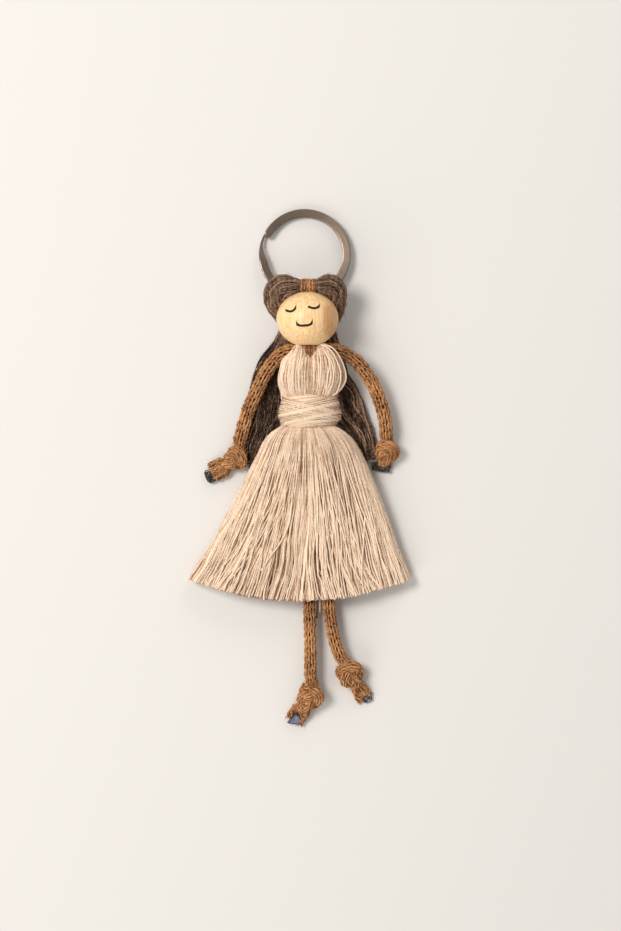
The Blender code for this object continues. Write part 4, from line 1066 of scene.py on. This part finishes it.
def skirtStrings(fall):
    # strings of one fall: hem places in layers, gathered into locks, all meeting at the waist
    random = np.random.default_rng(fall["seed"])
    settings = skirtSettings
    string, part, hip, tuck = (settings[key] for key in ("string", "part", "hip", "tuck"))
    count, layers, locks, (first, last) = (fall[key] for key in ("count", "layers", "locks", "uRange"))
    layer = np.arange(count) % layers
    place = ((np.arange(count) // layers) + random.uniform(0.1, 0.9, count)) / math.ceil(count / layers)
    uHem = first + (last - first) * place
    # a lock draws its strings together towards the hem and shares a lean; each lock holds smaller ones
    bins, small = (np.sort(random.uniform(first, last, number)) for number in (locks, locks * 4))
    member = np.searchsorted(bins, uHem + random.normal(0, 0.012, count))
    little = np.searchsorted(small, uHem + random.normal(0, 0.004, count))
    middles, smalls = (np.array([uHem[held == k].mean() if (held == k).any() else 0
                                 for k in range(number + 1)])
                       for held, number in ((member, locks), (little, locks * 4)))
    pull = random.uniform(*settings["pull"], locks + 1)
    smallPull = random.uniform(*settings["smallPull"], locks * 4 + 1)
    lean = random.normal(0, settings["lean"], locks + 1)
    rise = random.normal(0, settings["rise"], locks + 1)
    sway = random.normal(0, settings["sway"], (2, locks + 1))
    swing = random.uniform(0, turn, (2, locks + 1))
    # a string runs a little across the others, and a few run far across
    cross = random.normal(0, settings["cross"], count)
    wild = random.uniform(0, 1, count) < settings["wildShare"]
    cross = cross + wild * random.normal(0, settings["wildCross"], count)
    uTop = np.clip(uHem * 0.99 + random.normal(0, settings["waistWander"], count), -0.99, 0.99)
    # some strings leave the waist further in and sweep out over the others
    sweeping = np.zeros(count)
    for low, high, where, spread, chance in skirtSweeps:
        held = (uHem > low) & (uHem < high) & (layer < 3) & (random.uniform(0, 1, count) < chance)
        aim = where + (uHem - low) / (high - low) * spread + random.normal(0, 0.03, count)
        uTop, sweeping = np.where(held, aim, uTop), np.where(held, 1.0, sweeping)
    vHem = (layer + random.uniform(0.15, 0.85, count)) / layers
    vTop = random.uniform(0.0, 0.98, count)
    vTop = np.where(random.uniform(0, 1, count) < 0.45, vTop * 0.2, vTop)
    end = 1.0 + random.normal(0, settings["uneven"], count)
    end = end + random.normal(0, settings["uneven"], locks + 1)[member]
    lift = random.uniform(*settings["lift"], count)
    phase = random.uniform(0, turn, (4, count))
    size = random.uniform(0.3, 1.0, (4, count))
    points, tones = [], []
    for t in np.linspace(0, 1, settings["points"]):
        share = -tuck + (end + tuck) * t
        s = np.clip(share, 0, None)
        ease = np.where(sweeping > 0, np.clip((s - 0.12) / 0.88, 0, 1) ** 1.15, smoothStep(s, 0.0, 0.8))
        gather = smoothStep(s, 0.20, 0.85)
        u = uTop + (uHem - uTop) * ease
        u = u + (middles[member] - uHem) * pull[member] * gather + lean[member] * gather
        bulge = np.sin(np.pi * np.clip((s - 0.1) / 0.8, 0, 1)) * 0.8
        u = u + (smalls[little] - uHem) * smallPull[little] * bulge
        u = u + cross * smoothStep(s, 0.15, 1.0)
        for k, often in enumerate(settings["swayTurns"]):
            u = u + sway[k][member] * np.sin(often * s + swing[k][member]) * gather / (1 + k)
        u = u + 0.010 * (np.sin(7 * s + phase[0]) * size[0] + 0.5 * np.sin(19 * s + phase[1]) * size[1])
        u = u + 0.0035 * np.sin(48 * s + phase[3]) * size[3]
        u = np.clip(u, -0.998, 0.998)
        v = vTop + (vHem - vTop) * smoothStep(s, 0.0, 0.6)
        x, y = skirtPlace(share, u)
        low, high = skirtHeights(share, u)
        # tone: deeper layers, the strings near the sides and the tops at the waist are darker, all painted
        # shade; the left half is a little darker
        inside = 1 - smoothStep(np.abs(u), 0.50, 0.92)
        tones.append(0.74 - np.minimum(1.6 * v, 0.42) * inside - 0.16 * (1 - inside) - 0.08 * (u < 0)
                     - 0.03 * (1 - smoothStep(s, 0.0, 0.20)))
        # the strings part a little in front, low down between the legs
        opening = part["half"] * smoothStep(share, *part["shares"]) * (v < part["deep"])
        aside = x - part["x"]
        x = np.where(np.abs(aside) < 3, part["x"] + np.sign(aside) * np.maximum(np.abs(aside), opening), x)
        middle = hip + (settings["knee"] - hip) * np.maximum(0, s - settings["hipShare"])
        slot = legSlot(s, x)
        if fall["front"]:
            floor = np.minimum(np.maximum(low, middle + slot), high - 2 * string)
            z = high - string - (high - floor - 2 * string) * v + rise[member] * gather * (1 - v)
            z = np.maximum(z, floor + string)
        else:
            ceiling = np.maximum(np.minimum(high, middle - slot), low + 2 * string)
            z = low + string + (ceiling - low - 2 * string) * v
        z = z + 0.16 * np.sin(31 * s + phase[2]) * size[2] + lift * (1 if fall["front"] else -1)
        points.append(np.column_stack([x, y, np.maximum(z, string)]))
    lines = np.stack(points, axis=1)
    tones = np.array(tones).T + random.normal(0, 0.15, (count, 1))
    # drawn tight at the waist, fuller as they fall free
    full = 0.52 + 0.48 * smoothStep(np.linspace(0, 1, settings["points"]), 0.05, 0.55)
    radii = string * random.uniform(0.85, 1.15, count)[:, None] * full
    return lines, radii, np.clip(tones, 0, 1)


skirtFalls = {
    "skirtFront": {"seed": 301, "count": 1050, "front": True, "uRange": (-1.0, 1.0), "layers": 5,
                   "locks": 26, "nodes": ["skirt_front"], "sides": 5, "pieces": ("Left", "Right")},
    "skirtBack": {"seed": 302, "count": 760, "front": False, "uRange": (-0.98, 0.98), "layers": 3,
                  "locks": 24, "nodes": ["skirt_back"], "sides": 4, "pieces": ("",)},
}
for number, (sideName, sideRange) in enumerate((("Left", (-0.985, -0.62)), ("Right", (0.62, 0.985)))):
    skirtFalls[f"skirtSide{sideName}"] = {
        "seed": 303 + number, "count": 150, "front": True, "uRange": sideRange, "layers": 3, "locks": 6,
        "nodes": [f"skirt_{sideName.lower()}"], "sides": 5, "pieces": ("",)}


def skirt():
    for name, held in skirtFalls.items():
        lines, radii, tones = skirtStrings(held)
        if "Side" in name:
            # the side fills lie low, between the front and back falls
            lines[..., 2] = np.maximum(lines[..., 2] - skirtSettings["sideDrop"], 0.35)
            # the side fills are lightened, taking back some of their painted depth shade
            tones = np.clip(tones + skirtSettings["sideShadeLift"], 0, 1)
        groups = [fuzz(lines, held["count"] // 4, held["seed"] + 5, length=2.6, radius=0.04, out=0.22)]
        shares = (np.array_split(values, len(held["pieces"])) for values in (lines, radii, tones))
        for part, (end, *drawn) in enumerate(zip(held["pieces"], *shares)):
            groups.append(tubes(*drawn, sides=held["sides"]))
            meshPiece(name + end, groups, [dressFinish], "torso", held["nodes"][part:])
            groups = []


skirt()
print("skirt ready")


# Waist: a core of strings under many turns of string

waistSettings = {"centre": (0.75, 9.15), "half": (10.6, 7.1), "low": 13.1, "high": 24.3, "string": 0.18,
                 "turnSteps": 44, "wobble": 0.40, "inset": 1.45, "layer": 0.27, "coreInset": 1.60}
waistDraws = ((13.1, 14.0, 15.0, 16.5, 18.0, 20.0, 22.0, 23.5, 24.3),
              (2.0, 1.15, 0.45, 0.05, 0.1, 0.45, 1.05, 1.75, 2.2))
# from, to, turns, tilt, layer and phase of each lot of turns
waistBands = ((13.3, 24.1, 36, 0.2, 0, 0.0), (13.4, 24.0, 34, 0.7, 1, 1.3), (14.3, 18.6, 17, 0.8, 2, 2.9),
              (19.0, 23.6, 17, 0.4, 2, 3.4), (15.4, 20.0, 14, 1.7, 3, 3.2), (20.0, 22.8, 11, 1.0, 3, 0.2),
              (15.5, 17.2, 7, 2.1, 4, 2.6), (17.2, 21.0, 8, -1.9, 4, 0.4), (18.4, 21.8, 9, 2.2, 4, 3.0))


def waistRadii(y, inset):
    # half width and half thickness: a barrel, narrower at its ends
    held = waistSettings
    draw = np.interp(y, *waistDraws)
    return held["half"][0] - inset - draw, held["half"][1] - inset - draw * 0.7


def waist():
    random = np.random.default_rng(401)
    held = waistSettings
    steps, (x0, z0) = held["turnSteps"], held["centre"]
    lines, tones = [], []
    for low, high, number, tilt, layer, phase in waistBands:
        count = number * steps + 1
        angle = np.linspace(0, turn * number, count) + phase
        wobble = np.cumsum(random.normal(0, 1, count))
        wobble = wobble - np.linspace(wobble[0], wobble[-1], count)
        wobble = np.convolve(np.pad(wobble, 12, mode="edge"), np.ones(25) / 25, mode="valid")
        wobble = held["wobble"] * wobble / max(np.abs(wobble).max(), 1e-6)
        y = np.clip(np.linspace(low, high, count) + tilt * np.cos(angle) + wobble, held["low"], held["high"])
        a, b = waistRadii(y, held["inset"] - layer * held["layer"])
        turns = cutUp(np.column_stack([x0 + a * np.cos(angle), y, z0 + b * np.sin(angle)]), steps)
        lines.append(turns)
        # the turns lie in shadow at the waist's sides
        side = np.abs(turns[:, :, 0] - x0) / held["half"][0]
        tones.append(np.clip(random.normal(0.57, 0.24, (len(turns), 1)) - 0.30 * side ** 3, 0, 1))
    lines, tones = np.concatenate(lines), np.concatenate(tones)
    groups = [tubes(lines, held["string"], tones, first=(0, 1, 0)),
              fuzz(lines, 420, 405, length=1.6, radius=0.03, out=0.30)]
    meshPiece("waistWrap", groups, [dressFinish], "torso", ["waist_wrap"])
    # the core under the turns, in the darker core colours that are painted shade
    y = np.linspace(held["low"] - 0.1, held["high"] + 0.1, 15)
    angles = np.arange(48) * turn / 48
    a, b = waistRadii(y, held["coreInset"])
    rings = np.stack([x0 + a[:, None] * np.sin(angles), np.repeat(y[:, None], 48, 1),
                      z0 + b[:, None] * np.cos(angles)], axis=-1)
    meshPiece("waistCore", [lofted(rings[None])], [dressCoreShadeFinish], "torso", ["waist_core"])


waist()
print("waist ready")


# Bodice: strings that rise from the waist, fold over the cords at the neck and go down the back

# each lobe's tone: the right lobe's lower tone is painted shade on the side away from the light
lobeSettings = {
    "left": {"seed": 501, "node": "bodice_front_left", "inner": 1, "count": 300, "tone": 0.74,
             "outer": (-7.4, -8.7, -9.5, -9.55, -9.0, -8.1, -6.9, -5.7, -4.7),
             "middle": (0.9, 0.9, 0.9, 0.9, 0.9, 0.8, 0.7, 0.2, -0.5), "top": 39.9, "back": (-4.6, 4.6)},
    "right": {"seed": 502, "node": "bodice_front_right", "inner": -1, "count": 312, "tone": 0.56,
              "outer": (8.5, 9.9, 11.6, 12.2, 11.9, 11.0, 9.8, 8.4, 7.0),
              "middle": (0.3, 0.3, 0.3, 0.3, 0.4, 0.6, 0.9, 1.6, 2.4), "top": 40.2, "back": (5.4, 4.6)},
}
lobeHeights = (23.0, 24.6, 27.0, 29.8, 32.6, 35.0, 36.8, 38.4, 39.4)
lobeFronts = (13.0, 14.7, 16.1, 16.8, 16.9, 16.6, 16.1, 15.5, 15.0)
lobeLow, lobeFold = 8.6, 35.0
# y, half width and depth of the back's rows
backSettings = {"seed": 510, "count": 150, "rows": ((22.5, 9.0, 1.7), (26.0, 9.6, 1.9), (30.0, 9.6, 2.0),
                                                    (34.0, 8.6, 1.8), (37.0, 6.9, 1.3), (38.6, 5.4, 0.6))}


def lobeStrings(held, layers):
    random = np.random.default_rng(held["seed"])
    count = held["count"]
    layer = np.arange(count) % layers
    u = -1 + 2 * ((np.arange(count) // layers) + random.uniform(0.1, 0.9, count)) / math.ceil(count / layers)
    v = (layer + random.uniform(0.1, 0.9, count)) / layers
    inward = u * held["inner"]
    # the outer side rounds down to the back, the inner side stays high where the lobes meet
    rounding = np.where(inward > 0, 1 - 0.30 * np.abs(u) ** 5.0,
                        np.clip(1 - np.abs(u) ** 2.5, 0, 1) ** (1 / 2.0))
    drift = random.normal(0, 0.035, count)
    tuck = np.where(inward > 0, 1 - 0.05 * v, 1 - 0.16 * v)
    sag = 1.7 * np.abs(inward + 0.15) ** 2.2 + 0.5 * v
    rows = []
    # the first row is tucked in under the wrap
    for k, height in enumerate((21.6,) + lobeHeights):
        near = max(0, k - 1)
        left, right = sorted((held["outer"][near], held["middle"][near]))
        centre, half = (left + right) / 2, (right - left) / 2
        x = centre + half * (u + drift * math.sin(k * 1.3)) * tuck
        y = height - (height > lobeFold) * sag * (height - lobeFold) / 4.4
        z = lobeLow + (lobeFronts[near] - lobeLow) * rounding * (1 - 0.42 * v)
        rows.append(np.column_stack([x, y, z + (0 if k else -0.8)]))
    # over the cords at the neck, and down the back
    crown = held["top"] - 1.6 * np.abs(inward + 0.1) ** 2.2 - 1.1 * v
    for drop, z in ((0.0, 13.6), (0.1, 10.4), (1.4, 6.9)):
        rows.append(np.column_stack([centre + half * u * (1.05 + 0.1 * drop), crown - drop,
                                     z + 0.6 * (1 - v) * (1 if z > 9 else -1)]))
    middle, wide = held["back"]
    for y, z, spread in ((33.5, 5.0, 0.8), (28.0, 4.8, 1.0), (22.5, 4.8, 0.95)):
        x = middle * 0.9 + wide * spread * u
        rows.append(np.column_stack([x, np.full(count, y), z - 0.8 * rounding * (1 - v) + 0.8 * v]))
    places = np.stack(rows, axis=1)
    places[:, 1:10] += random.normal(0, 0.07, (count, 9, 3))
    places[:, 1:10, 2] += random.uniform(-0.25, 0.1, (count, 1))
    # deeper layers darker, as painted shade, round each lobe's tone
    tones = np.clip(held["tone"] - np.minimum(1.4 * v, 0.42) + random.normal(0, 0.16, count), 0, 1)
    return smoothLines(places, 4), tones


def bodice():
    for side, held in lobeSettings.items():
        lines, tones = lobeStrings(held, 4)
        groups = [tubes(lines, skirtSettings["string"] * 1.02, tones),
                  fuzz(lines[:, :36], 160, held["seed"] + 5, length=1.6, radius=0.035, out=0.25)]
        meshPiece(f"dressLobe{side.title()}", groups, [dressFinish], "torso", [held["node"]])
    random, count = np.random.default_rng(backSettings["seed"]), backSettings["count"]
    u = np.linspace(-0.97, 0.97, count) + random.normal(0, 0.008, count)
    dome = np.sqrt(np.clip(1 - np.abs(u) ** 2.4, 0, 1))
    rows = []
    for y, wide, deep in backSettings["rows"]:
        z = 5.6 - deep * dome * (0.6 + 0.4 * ((np.arange(count) % 2) == 0))
        rows.append(np.column_stack([0.6 + wide * u, np.full(count, y), z]))
    places = np.stack(rows, axis=1) + random.normal(0, 0.05, (count, 6, 3))
    tones = np.clip(0.45 + random.normal(0, 0.16, count), 0, 1)
    group = tubes(smoothLines(places, 5), skirtSettings["string"] * 1.2, tones)
    meshPiece("dressBack", [group], [dressFinish], "torso", ["bodice_back"])


bodice()
print("bodice ready")


# Stray strings that the doll shows

strayStrings = {
    "strayLobeString": {
        "places": [(4.6, 39.9, 15.6), (7.6, 39.0, 15.6), (9.9, 36.6, 14.6), (11.6, 33.2, 13.6),
                   (12.35, 30.4, 13.1), (12.3, 28.4, 13.0), (11.5, 26.6, 13.2), (10.3, 25.0, 13.8),
                   (8.2, 23.4, 14.6)],
        "radius": 0.25, "finish": "dress", "tone": 0.95},
    "straySideString": {
        "places": [(4.2, 39.8, 15.8), (7.0, 38.4, 16.4), (9.0, 35.4, 16.2), (10.4, 32.0, 15.6),
                   (10.7, 29.0, 15.2), (10.2, 26.4, 15.2), (9.2, 24.0, 14.6)],
        "radius": 0.22, "finish": "dress", "tone": 0.8},
    "strayHemString": {
        "places": [(3.8, -36.0, 5.8), (3.95, -40.0, 5.0), (4.05, -43.6, 4.0), (4.0, -46.9, 2.6)],
        "radius": 0.34, "finish": "dress", "tone": 0.9},
    "strayLegThread": {
        "places": [(3.0, -37.0, 5.4), (3.1, -41.0, 4.8), (3.2, -45.0, 4.2), (3.05, -49.0, 3.4)],
        "radius": 0.22, "finish": "hair", "tone": 0.15},
    "strayCrossString": {
        "places": [(-4.8, -8.0, 14.3), (-5.6, -16.0, 13.6), (-7.2, -21.0, 13.1), (-9.6, -25.2, 12.4),
                   (-12.4, -29.0, 11.4), (-15.0, -33.0, 10.4)],
        "radius": 0.24, "finish": "dress", "tone": 0.95},
}


def strays():
    finishes = {"dress": (dressFinish, "dress_cotton"), "hair": (hairFinish, "hair_wool")}
    for name, held in strayStrings.items():
        finish, slot = finishes[held["finish"]]
        group = tubes(smoothLines(held["places"], 8), held["radius"], np.array([held["tone"]]), sides=7)
        meshPiece(name, [group], [finish], "torso")


strays()
print("stray strings ready")
